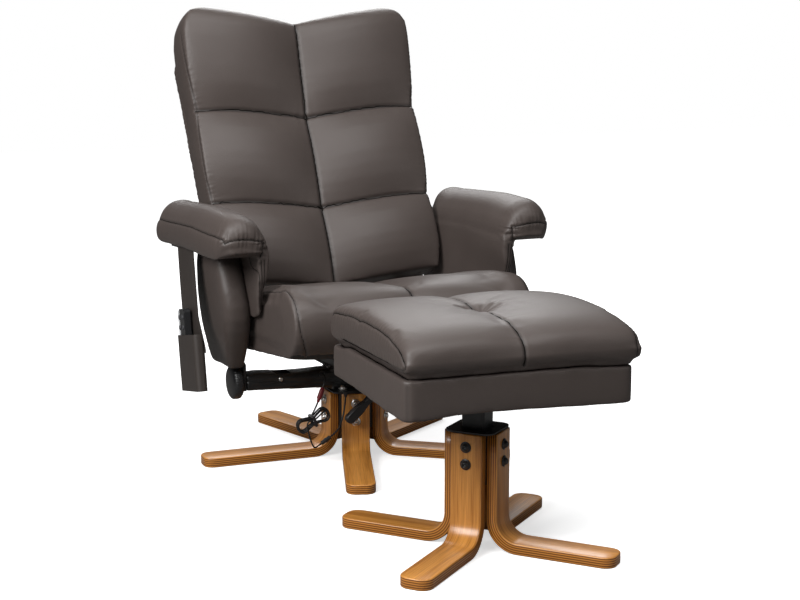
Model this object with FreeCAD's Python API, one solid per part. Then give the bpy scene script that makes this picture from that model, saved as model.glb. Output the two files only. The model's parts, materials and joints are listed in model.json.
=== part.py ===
import FreeCAD, Part
import math
import os

V = FreeCAD.Vector
UP = V(0, 0, 1)
SQ = math.sqrt(0.5)

# Millimetres. Built about the chair's swivel axis: the sitter faces -Y, +Z is up, the floor is Z = 0.
# The row's origin is on the floor under the middle of the whole set.
ORIGIN_X = -4.5
ORIGIN_Y = -235.6

# Clearances
RUN_CLEAR = 0.05
SLIDE_CLEAR = 0.15
FACE_CLEAR = 0.3

# Laminated bentwood legs
LEG_WIDTH = 62.0
LEG_THICK = 21.0
LEG_TIP_RADIUS = 22.0
LEG_BEVEL = 2.0

# Chair base
CHAIR_LEGS = 5
CHAIR_REACH = 355.0
CHAIR_FACE = 49.0
CHAIR_TOP = 145.0
CHAIR_BEND = 34.0
CHAIR_FIRST = -110.9
CHAIR_BOLT_DROPS = (22.0, 62.0)
CORE_BOTTOM = 64.0
CORE_WALL = 5.0
HUB_PLATE = 3.0
HUB_INSET = 4.0

# Swivel
SPINDLE_DIA = 30.0
BUSH_WALL = 7.0
BUSH_FLANGE_DIA = 80.0
BUSH_FLANGE = 2.0
SWIVEL_PLATE = 4.0
SWIVEL_HALF = 60.0
SADDLE_HALF_X = 74.0
SADDLE_FRONT = -80.0
SADDLE_BACK = 62.0
SADDLE_THICK = 4.0
FRAME_BOLT_X = 52.0
FRAME_BOLT_Y = (-56.0, 36.0)

# Leg and frame fasteners
BOLT_DIA = 8.0
BOLT_HEAD_DIA = 14.0
BOLT_HEAD = 6.0
BOLT_WASHER_DIA = 21.0
BOLT_WASHER = 2.0

# Cross beam between the arms
BEAM_Y = -20.0
BEAM_DEPTH = 50.0
BEAM_HEIGHT = 42.0
BEAM_END_HEIGHT = 36.0
BEAM_RISE = 9.0
BEAM_WALL = 3.0
BEAM_CAP = 5.0

# Seat glide
RAIL_X = 54.0
RAIL_WIDTH = 36.0
RAIL_HEIGHT = 24.0
RAIL_WALL = 3.0
RAIL_SLOT = 12.0
RAIL_FRONT = -170.0
RAIL_BACK = 125.0
RUNNER_FRONT = -105.0
RUNNER_BACK = 115.0
GLIDE_TRAVEL = 50.0
FRAME_GAP = 4.0
FRAME_BAR = 44.0
FRAME_BAR_WIDTH = 24.0
FRAME_CROSS = 10.0
FRAME_FRONT = -150.0
FRAME_HALF = 110.0
PAN_THICK = 12.0
PAN_HALF = 240.0
PAN_FRONT = -210.0
PAN_BACK = 78.0
SKIRT = 4.0

# Seat cushion
SEAT_HALF = 270.0
SEAT_REAR_Y = 94.0
SEAT_REAR_TOP_Y = 80.0
SEAT_REAR_Z = 358.0
SEAT_CREST_Y = -268.0
SEAT_CREST_Z = 424.0
SEAT_NOSE_Y = -350.0
SEAT_NOSE_Z = 346.0
SEAT_FOOT_Y = -292.0
SEAT_SEAM = 11.0
SEAT_LIFT = 12.0
SEAT_HANG = 20.0

# Backrest, measured along the back (s) and out of its face towards the sitter (n)
BACK_FOOT_Y = 99.0
BACK_FOOT_Z = 365.0
BACK_LEAN = 24.7
BACK_HALF = 266.0
BACK_WIDE = 270.0
BACK_RISE = 24.0
EAR_RISE = 43.0
BACK_SEAMS = (2.0, 189.6, 411.7, 641.0)
BACK_FOAM = 70.0
BACK_BOARD = 12.0
BACK_COVER = 42.0
BACK_COVER_WALL = 4.0
BACK_BAR = 12.0
BACK_BAR_WIDTH = 24.0
BACK_BAR_X = 200.0
BACK_BAR_TOP = 540.0
PIVOT_S = -28.0
PIVOT_DIA = 12.0
LUG_RADIUS = 14.0
LUG_THICK = 8.0
BRACKET_THICK = 6.0

# Vibration motors in the foam
MOTOR_DIA = 46.0
MOTOR_DEPTH = 22.0

# Arms
ARM_SPACE = 14.0
ARM_WIDE = 105.0
ARM_FRONT = -222.0
ARM_BACK = 219.0
ARM_BOTTOM = 480.0
ARM_SIDE_TOP = 540.0
ARM_CROWN = 34.0
ARM_TILT = 2.6
ARM_PLATE = 5.0
UPRIGHT_THICK = 6.0
UPRIGHT_WIDTH = 40.0
UPRIGHT_LEAN = 52.0
PANEL_BOTTOM = 227.0
LINING_SPACE = 10.0
LINING_THICK = 6.0

# Clamp knobs on the beam's ends
KNOB_DIA = 74.0
KNOB_THICK = 27.0
KNOB_FLUTES = 14
STUD_DIA = 10.0
KNOB_GAP = 3.0
STUD_LENGTH = 34.0

# Release lever
LEVER_X = 10.0
LEVER_Z = 150.0
LEVER_TIP_X = -52.0
LEVER_TIP_Z = 98.0
LEVER_THICK = 15.0
LEVER_PIN = 8.0
LEVER_FRONT = -102.0

# Pocket and remote control
SHEET = 2.0
POCKET_TUCK = 15.0
POCKET_Y0 = -48.0
POCKET_Y1 = 76.0
POCKET_BOTTOM = 180.0
POCKET_MOUTH = 300.0
POCKET_DEPTH = 24.0
POCKET_SLANT = 10.5
REMOTE_WIDTH = 50.0
REMOTE_LENGTH = 172.0
REMOTE_THICK = 16.0
REMOTE_FACE = 2.0
REMOTE_Y = 44.0
KEY_DIA = 10.0
KEY_TRAVEL = 1.2

# Low-voltage cord
CORD_DIA = 3.6
CORD_Y = -73.0
CONNECTOR_TOP = (-106.0, CORD_Y, 169.0)
CONNECTOR_FOOT = (-118.0, CORD_Y, 138.0)
CONNECTOR_DIA = 11.0
HANK_PITCH = 4.6
HANK_CENTRE = (-134.0, CORD_Y - HANK_PITCH, 101.0)
HANK_ANGLE = 22.0
HANK_LENGTH = 36.0
HANK_LOBE = 11.5
HANK_WAIST = 3.4
HANK_STEP = 4.6
HANK_LAYERS = 4
COUPLER_CENTRE = (-106.0, CORD_Y - 14.0, 54.0)
COUPLER_LENGTH = 24.0
COUPLER_DIA = 9.0
GLAND_POINT = (-52.0, -72.0, 0.0)
GLAND_LENGTH = 12.0

# Footstool
STOOL_X = -53.0
STOOL_Y = -700.0
STOOL_YAW = -3.8
STOOL_LEGS = 4
STOOL_REACH = 275.0
STOOL_FACE = 31.5
STOOL_TOP = 221.0
STOOL_BEND = 40.0
STOOL_FIRST = -140.9
STOOL_BOLT_DROPS = (24.0, 56.0)
STOOL_CORE_BOTTOM = 125.0
STOOL_POST = 45.0
STOOL_POST_WALL = 3.0
STOOL_HEAD = 5.0
STOOL_HEAD_HALF = 65.0
STOOL_HALF_X = 217.0
STOOL_HALF_Y = 192.0
STOOL_BOX_BOTTOM = 299.0
STOOL_BOX_TOP = 358.0
STOOL_WALL = 14.0
STOOL_FLOOR = 12.0
STOOL_CORNER = 18.0
LID_GAP = 0.5
LID_BOARD = 12.0
LID_OVERHANG = 12.0
LID_SIDE = 436.0
LID_CROWN = 456.0
HINGE_X = 120.0
HINGE_LENGTH = 60.0
HINGE_LEAF = 1.5
HINGE_BARREL = 8.0
HINGE_PIN = 4.0
HINGE_PLAY = 0.3

# Widths and heights that follow from the sizes above
BEAM_HALF = SEAT_HALF
ARM_IN = SEAT_HALF + ARM_SPACE
ARM_OUT = ARM_IN + ARM_WIDE
UPRIGHT_TOP_X = SEAT_HALF + UPRIGHT_LEAN
LINING_X = SEAT_HALF + LINING_SPACE
POCKET_X = POCKET_TUCK - ARM_OUT
BUSH_DIA = SPINDLE_DIA + 2 * RUN_CLEAR + 2 * BUSH_WALL
BUSH_TOP = CHAIR_TOP + HUB_PLATE
SWIVEL_Z = BUSH_TOP + BUSH_FLANGE + RUN_CLEAR
SADDLE_Z = SWIVEL_Z + SWIVEL_PLATE
BEAM_Z = SADDLE_Z + SADDLE_THICK
BEAM_TOP = BEAM_Z + BEAM_HEIGHT
BEAM_MID = BEAM_Z + BEAM_HEIGHT / 2 + BEAM_RISE
FRAME_Z = BEAM_TOP + RAIL_HEIGHT + FRAME_GAP
PAN_Z = FRAME_Z + FRAME_BAR
SEAT_Z = PAN_Z - SKIRT
BAR_N = -BACK_FOAM - BACK_BOARD
PIVOT_N = BAR_N - BACK_BAR / 2
LID_Z = STOOL_BOX_TOP + LID_GAP
LID_SOFT_Z = LID_Z + LID_BOARD


def seg(a, b):
    return Part.LineSegment(V(*a), V(*b)).toShape()


def arc(a, m, b):
    return Part.Arc(V(*a), V(*m), V(*b)).toShape()


def polygon(points):
    corners = [V(*p) for p in points]
    return Part.makePolygon(corners + corners[:1])


def prism(points, rise):
    return Part.Face(polygon(points)).extrude(V(*rise))


def curve(a, b, c, d, t):
    return b + 0.5 * t * (c - a + t * (2 * a - 5 * b + 4 * c - d + t * (3 * (b - c) + d - a)))


def between(stations, steps=2):
    # More stations on a smooth curve through the given ones
    last = len(stations) - 1
    rows = []
    for k in range(last):
        near = [stations[min(max(k + j, 0), last)] for j in (-1, 0, 1, 2)]
        for step in range(steps):
            rows.append([curve(*four, step / steps) for four in zip(*near)])
    rows.append(stations[last])
    return rows


def loft(section, stations, steps=2):
    return Part.makeLoft([section(*row) for row in between(stations, steps)], True, True)


def block(x0, x1, y0, y1, z0, z1):
    return Part.makeBox(x1 - x0, y1 - y0, z1 - z0, V(x0, y0, z0))


def rod(radius, start, end):
    a = V(*start)
    b = V(*end)
    return Part.makeCylinder(radius, (b - a).Length, a, b - a)


def fuse(first, *others):
    return first.multiFuse(list(others)).removeSplitter()


def mirrored(shape):
    return shape.mirror(V(0, 0, 0), V(1, 0, 0))


def turned(shape, angle, x=0.0, y=0.0):
    copy = shape.copy()
    copy.rotate(V(0, 0, 0), UP, angle)
    copy.translate(V(x, y, 0))
    return copy


def upright_edges(shape, test):
    found = []
    for edge in shape.Edges:
        ends = [v.Point for v in edge.Vertexes]
        if len(ends) == 2 and abs(ends[0].x - ends[1].x) < 1e-6 and abs(ends[0].y - ends[1].y) < 1e-6:
            if test(ends[0]):
                found.append(edge)
    return found


def rounded_block(x0, x1, y0, y1, z0, z1, radius):
    solid = block(x0, x1, y0, y1, z0, z1)
    return solid.makeFillet(radius, upright_edges(solid, lambda p: True))


def regular(count, apothem, first, z, rise):
    radius = apothem / math.cos(math.pi / count)
    turns = [math.radians(first + (k + 0.5) * 360.0 / count) for k in range(count)]
    return prism([(radius * math.cos(t), radius * math.sin(t), z) for t in turns], (0, 0, rise))


def leg(face, reach, top, bend, drops):
    outer = face + LEG_THICK
    mid_r = outer + bend
    mid_z = LEG_THICK + bend
    low = (bend + LEG_THICK) * SQ
    high = bend * SQ
    y = -LEG_WIDTH / 2
    edges = [
        seg((face, y, top), (face, y, mid_z)),
        arc((face, y, mid_z), (mid_r - low, y, mid_z - low), (mid_r, y, 0)),
        seg((mid_r, y, 0), (reach, y, 0)),
        seg((reach, y, 0), (reach, y, LEG_THICK)),
        seg((reach, y, LEG_THICK), (mid_r, y, LEG_THICK)),
        arc((mid_r, y, LEG_THICK), (mid_r - high, y, mid_z - high), (outer, y, mid_z)),
        seg((outer, y, mid_z), (outer, y, top)),
        seg((outer, y, top), (face, y, top)),
    ]
    blank = Part.Face(Part.Wire(edges)).extrude(V(0, LEG_WIDTH, 0))
    blank = blank.makeFillet(LEG_TIP_RADIUS, upright_edges(blank, lambda p: p.x > reach - 1))
    blank = blank.makeChamfer(LEG_BEVEL, leg_top_edges(blank, outer, top))
    for drop in drops:
        z = top - drop
        blank = blank.cut(rod(BOLT_DIA / 2 + FACE_CLEAR, (face - 1, 0, z), (outer + 1, 0, z)))
    return blank


def leg_top_edges(blank, outer, top):
    found = []
    for edge in blank.Edges:
        point = edge.valueAt((edge.FirstParameter + edge.LastParameter) / 2)
        on_side = abs(abs(point.y) - LEG_WIDTH / 2) < 0.01
        on_tip = abs(point.z - LEG_THICK) < 0.01 and point.x > outer + LEG_WIDTH
        on_face = point.x > outer - 0.01 and point.z > LEG_THICK - 0.01 and point.z < top - 0.01
        if on_tip or (on_side and on_face):
            found.append(edge)
    return found


def bolt(start, seat):
    # A button-head screw with its washer, along X: the shank's end, then the face it seats on
    r = BOLT_DIA / 2
    washer = seat + BOLT_WASHER
    tip = washer + BOLT_HEAD
    head = BOLT_HEAD_DIA / 2
    edges = [
        seg((start, 0, 0), (start, 0, r)),
        seg((start, 0, r), (seat, 0, r)),
        seg((seat, 0, r), (seat, 0, BOLT_WASHER_DIA / 2)),
        seg((seat, 0, BOLT_WASHER_DIA / 2), (washer, 0, BOLT_WASHER_DIA / 2)),
        seg((washer, 0, BOLT_WASHER_DIA / 2), (washer, 0, head)),
        seg((washer, 0, head), (washer + 0.4 * BOLT_HEAD, 0, head)),
        seg((washer + 0.4 * BOLT_HEAD, 0, head), (tip, 0, 0.6 * head)),
        seg((tip, 0, 0.6 * head), (tip, 0, 0)),
        seg((tip, 0, 0), (start, 0, 0)),
    ]
    return Part.Face(Part.Wire(edges)).revolve(V(0, 0, 0), V(1, 0, 0), 360)


def leg_bolts(count, face, first, top, drops, x=0.0, y=0.0):
    screw = bolt(face - CORE_WALL, face + LEG_THICK)
    group = []
    for k in range(count):
        for drop in drops:
            one = screw.copy()
            one.translate(V(0, 0, top - drop))
            group.append(turned(one, first + k * 360.0 / count, x, y))
    return Part.makeCompound(group)


def tapped(core, count, face, first, top, drops):
    for k in range(count):
        for drop in drops:
            hole = rod(BOLT_DIA / 2, (face - 2 * CORE_WALL, 0, top - drop), (face + 1, 0, top - drop))
            core = core.cut(turned(hole, first + k * 360.0 / count))
    return core


def chair_core():
    inner = CHAIR_FACE - CORE_WALL
    rise = CHAIR_TOP - CORE_BOTTOM
    shell = regular(CHAIR_LEGS, CHAIR_FACE, CHAIR_FIRST, CORE_BOTTOM, rise)
    shell = shell.cut(regular(CHAIR_LEGS, inner, CHAIR_FIRST, CORE_BOTTOM - 1, rise + 2))
    upper = regular(CHAIR_LEGS, inner, CHAIR_FIRST, CHAIR_TOP - CORE_WALL, CORE_WALL)
    lower = regular(CHAIR_LEGS, inner, CHAIR_FIRST, CORE_BOTTOM, CORE_WALL)
    tube = rod(BUSH_DIA / 2 + CORE_WALL, (0, 0, CORE_BOTTOM), (0, 0, CHAIR_TOP))
    core = fuse(shell, upper, lower, tube)
    core = core.cut(rod(BUSH_DIA / 2, (0, 0, CORE_BOTTOM - 1), (0, 0, CHAIR_TOP + 1)))
    return tapped(core, CHAIR_LEGS, CHAIR_FACE, CHAIR_FIRST, CHAIR_TOP, CHAIR_BOLT_DROPS)


def chair_hub_plate():
    apothem = CHAIR_FACE + LEG_THICK - HUB_INSET
    plate = regular(CHAIR_LEGS, apothem, CHAIR_FIRST, CHAIR_TOP, HUB_PLATE)
    plate = plate.makeFillet(14, upright_edges(plate, lambda p: True))
    return plate.cut(rod(BUSH_DIA / 2, (0, 0, CHAIR_TOP - 1), (0, 0, BUSH_TOP + 1)))


def swivel_bush():
    bush = rod(BUSH_DIA / 2, (0, 0, CORE_BOTTOM), (0, 0, BUSH_TOP))
    flange = rod(BUSH_FLANGE_DIA / 2, (0, 0, BUSH_TOP), (0, 0, BUSH_TOP + BUSH_FLANGE))
    bore = rod(SPINDLE_DIA / 2 + RUN_CLEAR, (0, 0, CORE_BOTTOM - 1), (0, 0, BUSH_TOP + 9))
    return fuse(bush, flange).cut(bore)


def frame_bolt_places():
    return [(sx * FRAME_BOLT_X, y) for sx in (-1, 1) for y in FRAME_BOLT_Y]


def swivel_plate():
    half = SWIVEL_HALF
    front = FRAME_BOLT_Y[0] - 10
    plate = rounded_block(-half, half, front, half - 6, SWIVEL_Z, SADDLE_Z, 14)
    spindle = rod(SPINDLE_DIA / 2, (0, 0, CORE_BOTTOM + 4), (0, 0, SWIVEL_Z))
    plate = fuse(plate, spindle)
    for x, y in frame_bolt_places():
        plate = plate.cut(rod(BOLT_DIA / 2, (x, y, SWIVEL_Z - 1), (x, y, SADDLE_Z + 1)))
    return plate


def frame_bolts():
    screw = bolt(-SADDLE_THICK - SWIVEL_PLATE, 0)
    screw.rotate(V(0, 0, 0), V(0, 1, 0), -90)
    group = []
    for x, y in frame_bolt_places():
        one = screw.copy()
        one.translate(V(x, y, BEAM_Z))
        group.append(one)
    return Part.makeCompound(group)


def beam_prism(y, depth, cap, wall):
    # Straight over the hub, bent up and a little slimmer towards its ends
    end = BEAM_HALF - cap
    low = BEAM_MID - BEAM_END_HEIGHT / 2 + wall
    high = BEAM_MID + BEAM_END_HEIGHT / 2 - wall
    bottom = BEAM_Z + wall
    top = BEAM_TOP - wall
    knee = SADDLE_HALF_X
    outline = [(-end, y, low), (-knee, y, bottom), (knee, y, bottom), (end, y, low)]
    outline += [(end, y, high), (knee, y, top), (-knee, y, top), (-end, y, high)]
    return prism(outline, (0, depth, 0))


def cross_beam():
    y0 = BEAM_Y - BEAM_DEPTH / 2
    y1 = BEAM_Y + BEAM_DEPTH / 2
    saddle = rounded_block(-SADDLE_HALF_X, SADDLE_HALF_X, SADDLE_FRONT, SADDLE_BACK, SADDLE_Z, BEAM_Z, 10)
    for x, y in frame_bolt_places():
        saddle = saddle.cut(rod(BOLT_DIA / 2 + FACE_CLEAR, (x, y, SADDLE_Z - 1), (x, y, BEAM_Z + 1)))
    tube = beam_prism(y0, BEAM_DEPTH, 0, 0)
    rims = [e for e in tube.Edges if e.BoundBox.YLength < 1e-4 and e.BoundBox.XLength > 1]
    tube = tube.makeFillet(5, rims)
    hollow = beam_prism(y0 + BEAM_WALL, BEAM_DEPTH - 2 * BEAM_WALL, BEAM_CAP, BEAM_WALL)
    beam = fuse(tube.cut(hollow), saddle, lever_bracket(), *rails())
    bore = STUD_DIA / 2 + RUN_CLEAR
    inside = BEAM_HALF - BEAM_CAP - 1
    hole = rod(bore, (inside, BEAM_Y, BEAM_MID), (BEAM_HALF + 1, BEAM_Y, BEAM_MID))
    return beam.cut(hole).cut(mirrored(hole))


def rails():
    low = BEAM_TOP
    high = BEAM_TOP + RAIL_HEIGHT
    floor = low + RAIL_WALL
    half = RAIL_WIDTH / 2
    inner = half - RAIL_WALL
    slot = RAIL_SLOT / 2
    front = RAIL_FRONT - 1
    back = RAIL_BACK + 1
    group = []
    for x in (-RAIL_X, RAIL_X):
        rail = block(x - half, x + half, RAIL_FRONT, RAIL_BACK, low, high)
        rail = rail.cut(block(x - inner, x + inner, front, back, floor, high - RAIL_WALL))
        rail = rail.cut(block(x - slot, x + slot, front, back, floor + 1, high + 1))
        group.append(rail)
    return group


def seat_frame():
    inner = RAIL_WIDTH / 2 - RAIL_WALL - SLIDE_CLEAR
    low = BEAM_TOP + RAIL_WALL + SLIDE_CLEAR
    high = BEAM_TOP + RAIL_HEIGHT - RAIL_WALL - SLIDE_CLEAR
    web = RAIL_SLOT / 2 - SLIDE_CLEAR
    half = FRAME_BAR_WIDTH / 2
    px, py, pz = back_point(0, PIVOT_S, PIVOT_N)
    rear = py - LUG_RADIUS
    cross = PAN_Z - FRAME_CROSS
    outer = bracket_inner() + BRACKET_THICK
    pieces = []
    for x in (-RAIL_X, RAIL_X):
        pieces.append(block(x - inner, x + inner, RUNNER_FRONT, RUNNER_BACK, low, high))
        pieces.append(block(x - web, x + web, RUNNER_FRONT, RUNNER_BACK, high, FRAME_Z))
        side = [(RUNNER_FRONT, FRAME_Z), (RUNNER_BACK, FRAME_Z), (rear, cross), (rear, PAN_Z)]
        side += [(FRAME_FRONT, PAN_Z), (FRAME_FRONT, cross)]
        pieces.append(prism([(x - half, y, z) for y, z in side], (FRAME_BAR_WIDTH, 0, 0)))
    pieces.append(block(-outer, outer, rear - 2 * half, rear, cross, PAN_Z))
    pieces.append(block(-FRAME_HALF, FRAME_HALF, FRAME_FRONT, FRAME_FRONT + 2 * half, cross, PAN_Z))
    for side in (-1, 1):
        x0 = bracket_inner() if side > 0 else -outer
        foot = [(x0, rear - 2 * half, cross), (x0, rear, cross)]
        foot += [(x0, py + LUG_RADIUS, pz), (x0, py - LUG_RADIUS, pz)]
        pieces.append(prism(foot, (BRACKET_THICK, 0, 0)))
        pieces.append(rod(LUG_RADIUS, (x0, py, pz), (x0 + BRACKET_THICK, py, pz)))
    return fuse(*pieces, *hinge_pins())


def bracket_inner():
    return BACK_BAR_X + BACK_BAR_WIDTH / 2 + FACE_CLEAR


def hinge_pins():
    px, py, pz = back_point(0, PIVOT_S, PIVOT_N)
    inner = bracket_inner() - FACE_CLEAR - LUG_THICK - 3
    outer = bracket_inner() + BRACKET_THICK
    pin = rod(PIVOT_DIA / 2, (inner, py, pz), (outer, py, pz))
    head = rod(PIVOT_DIA / 2 + 3, (outer, py, pz), (outer + 4, py, pz))
    pin = fuse(pin, head)
    return [pin, mirrored(pin)]


def seat_section(x, drop, pull, hang):
    crest = SEAT_CREST_Z - drop
    nose = SEAT_NOSE_Y + pull
    foot = SEAT_Z + SEAT_LIFT + 0.7 * pull
    rear_top = SEAT_REAR_Z - drop
    mid_y = (SEAT_CREST_Y + SEAT_REAR_TOP_Y) / 2
    mid_z = (crest + rear_top) / 2 + 9 - drop / 2
    edges = [
        seg((x, SEAT_FOOT_Y + pull, foot), (x, SEAT_REAR_Y, SEAT_Z - hang)),
        seg((x, SEAT_REAR_Y, SEAT_Z - hang), (x, SEAT_REAR_TOP_Y, rear_top)),
        arc((x, SEAT_REAR_TOP_Y, rear_top), (x, mid_y, mid_z), (x, SEAT_CREST_Y, crest)),
        arc((x, SEAT_CREST_Y, crest), (x, nose + 17, crest - 26), (x, nose, SEAT_NOSE_Z)),
        arc((x, nose, SEAT_NOSE_Z), (x, nose + 17, 308), (x, SEAT_FOOT_Y + pull, foot)),
    ]
    return Part.Wire(edges)


def seat_cushion(motors):
    stations = (
        (0.0, SEAT_SEAM, 10.0, 0.0),
        (0.16 * SEAT_HALF, 3.0, 3.0, 0.0),
        (0.5 * SEAT_HALF, 0.0, 0.0, 0.0),
        (0.85 * SEAT_HALF, 2.0, 4.0, SEAT_HANG),
        (SEAT_HALF, 9.0, 12.0, SEAT_HANG),
    )
    half = loft(seat_section, stations)
    return fuse(half, mirrored(half)).cut(seat_recess()).cut(motors)


def seat_recess():
    low = SEAT_Z - SEAT_HANG - 1
    pan = block(-PAN_HALF, PAN_HALF, PAN_FRONT, PAN_BACK, low, PAN_Z + PAN_THICK)
    frame = block(-PAN_HALF, PAN_HALF, PAN_BACK - 1, SEAT_REAR_Y + 1, low, PAN_Z)
    return fuse(pan, frame)


def seat_motors():
    low = PAN_Z + PAN_THICK
    group = [rod(MOTOR_DIA / 2, (x, -90, low), (x, -90, low + MOTOR_DEPTH)) for x in (-110, 110)]
    return Part.makeCompound(group)


def back_point(x, s, n):
    lean = math.radians(BACK_LEAN)
    y = BACK_FOOT_Y + s * math.sin(lean) - n * math.cos(lean)
    return (x, y, BACK_FOOT_Z + s * math.cos(lean) + n * math.sin(lean))


def back_section(s, width, valley, edge, crown, rear, rise):
    # One column of pads across: rear, boxed side, crowned face and the middle seam
    slope = rise / BACK_HALF
    depth = min(rear, BACK_FOAM)

    def at(x, n):
        return back_point(x, s + slope * x, n)

    side = at(width + 4, (edge - depth) / 2)
    top = at(0.52 * width, (edge + valley) / 2 + crown)
    edges = [
        seg(at(0, -depth), at(width, -depth)),
        arc(at(width, -depth), side, at(width, edge)),
        arc(at(width, edge), top, at(0, valley)),
        seg(at(0, valley), at(0, -depth)),
    ]
    return Part.Wire(edges)


def back_row(low, high, width_low, width_high):
    span = high - low
    middle = (width_low + width_high) / 2 + 3
    foam = BACK_FOAM
    return loft(back_section, [
        (low, width_low, -13, 4, 9, foam, BACK_RISE),
        (low + 0.22 * span, middle, -8, 13, 24, foam, BACK_RISE),
        (low + 0.5 * span, middle + 1, -6, 16, 30, foam, BACK_RISE),
        (low + 0.78 * span, middle, -8, 13, 24, foam, BACK_RISE),
        (high, width_high, -13, 4, 9, foam, BACK_RISE),
    ])


def back_head(low, high, width):
    span = high - low
    foam = BACK_FOAM
    return loft(back_section, [
        (low, width, -13, 4, 9, foam, BACK_RISE),
        (low + 0.24 * span, width + 5, -4, 17, 26, foam, BACK_RISE),
        (low + 0.55 * span, width + 8, 5, 30, 32, foam - 2, BACK_RISE + 4),
        (low + 0.82 * span, width + 4, 16, 42, 28, foam - 14, 0.5 * (BACK_RISE + EAR_RISE)),
        (low + 0.95 * span, width - 18, 18, 38, 18, foam - 32, EAR_RISE - 4),
        (high, width - 54, 10, 24, 8, foam - 52, EAR_RISE),
    ])


def back_cushion(motors):
    foot, lower, upper, head = BACK_SEAMS
    column = fuse(
        back_row(foot, lower, BACK_HALF, BACK_WIDE),
        back_row(lower, upper, BACK_WIDE, BACK_WIDE + 4),
        back_head(upper, head, BACK_WIDE + 4),
    )
    return fuse(column, mirrored(column)).cut(motors)


def back_rod(radius, x, s, n0, n1):
    return rod(radius, back_point(x, s, n0), back_point(x, s, n1))


def back_motors():
    places = [(sx * 130, s) for sx in (-1, 1) for s in (112, 312, 520)]
    group = [back_rod(MOTOR_DIA / 2, x, s, -BACK_FOAM, MOTOR_DEPTH - BACK_FOAM) for x, s in places]
    return Part.makeCompound(group)


def back_outline(inset, n):
    # The back's outline seen from behind: narrow foot, wide shoulders with rounded corners
    foot = 8.0 + inset
    head = BACK_SEAMS[3] - 22.0 - inset
    low = BACK_WIDE - 12.0 - inset
    high = BACK_WIDE + 2.0 - inset
    r = 62.0 - inset / 2
    q = 26.0 - inset / 4
    k = 1 - SQ

    def at(x, s):
        return back_point(x, s, n)

    edges = [
        seg(at(q - low, foot), at(low - q, foot)),
        arc(at(low - q, foot), at(low - k * q, foot + k * q), at(low, foot + q)),
        seg(at(low, foot + q), at(high, head - r)),
        arc(at(high, head - r), at(high - k * r, head - k * r), at(high - r, head)),
        seg(at(high - r, head), at(r - high, head)),
        arc(at(r - high, head), at(k * r - high, head - k * r), at(-high, head - r)),
        seg(at(-high, head - r), at(-low, foot + q)),
        arc(at(-low, foot + q), at(k * q - low, foot + k * q), at(q - low, foot)),
    ]
    return Part.Wire(edges)


def out_of_back(n):
    a = V(*back_point(0, 0, 0))
    b = V(*back_point(0, 0, n))
    return b - a


def back_board():
    return Part.Face(back_outline(0, -BACK_FOAM)).extrude(out_of_back(-BACK_BOARD))


def back_cover():
    start = BAR_N
    end = BAR_N - BACK_COVER
    wall = BACK_COVER_WALL
    middle = (start + end) / 2 - 5
    outer = loft(back_outline, [(0, start), (-4, middle), (22, end)])
    inner = loft(back_outline, [(wall, start), (wall - 4, middle), (22 + wall, end + wall)])
    cover = outer.cut(inner)
    for x in (-BACK_BAR_X, BACK_BAR_X):
        cover = cover.cut(back_block(x, -40, 60, FACE_CLEAR))
    return cover


def back_block(x, s0, s1, spare=0.0, half=BACK_BAR_WIDTH / 2):
    left = x - half - spare
    right = x + half + spare
    corners = [(left, s0), (right, s0), (right, s1), (left, s1)]
    face = [back_point(cx, cs, BAR_N) for cx, cs in corners]
    return prism(face, tuple(out_of_back(-BACK_BAR - spare)))


def back_frame():
    px, py, pz = back_point(0, PIVOT_S, PIVOT_N)
    lug_in = bracket_inner() - FACE_CLEAR - LUG_THICK
    pieces = []
    for side in (-1, 1):
        x = side * BACK_BAR_X
        pieces.append(back_block(x, PIVOT_S, BACK_BAR_TOP))
        x0 = lug_in if side > 0 else -lug_in - LUG_THICK
        pieces.append(rod(LUG_RADIUS, (x0, py, pz), (x0 + LUG_THICK, py, pz)))
    wide = BACK_BAR_X + BACK_BAR_WIDTH / 2
    pieces.append(back_block(0, 150, 150 + BACK_BAR_WIDTH, 0, wide))
    pieces.append(back_block(0, BACK_BAR_TOP - BACK_BAR_WIDTH, BACK_BAR_TOP, 0, wide))
    frame = fuse(*pieces)
    for side in (-1, 1):
        inside = side * (lug_in - 0.01)
        near = side * (BACK_BAR_X - BACK_BAR_WIDTH / 2 - 1)
        round_end = rod(LUG_RADIUS + 0.01, (near, py, pz), (inside, py, pz))
        frame = frame.cut(round_end)
    bore = PIVOT_DIA / 2 + RUN_CLEAR
    return frame.cut(rod(bore, (-wide - 1, py, pz), (wide + 1, py, pz)))


def arm_section(y, inset, drop):
    x0 = ARM_IN + inset
    x1 = ARM_OUT - inset
    side = ARM_SIDE_TOP - drop
    middle = (ARM_BOTTOM + side) / 2
    edges = [
        seg((x0 + 2, y, ARM_BOTTOM), (x1 - 7, y, ARM_BOTTOM)),
        arc((x1 - 7, y, ARM_BOTTOM), (x1, y, middle), (x1 - 9, y, side)),
        arc((x1 - 9, y, side), ((x0 + x1) / 2, y, side + ARM_CROWN - drop / 4), (x0 + 9, y, side)),
        arc((x0 + 9, y, side), (x0 - 1, y, middle), (x0 + 2, y, ARM_BOTTOM)),
    ]
    return Part.Wire(edges)


def arm_tilted(shape):
    tilted = shape.copy()
    tilted.rotate(V(0, 0, ARM_BOTTOM), V(1, 0, 0), -ARM_TILT)
    return tilted


def above_arm(z):
    return arm_tilted(block(-2 * ARM_OUT, 2 * ARM_OUT, 2 * ARM_FRONT, 2 * ARM_BACK, z, z + 200))


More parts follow.
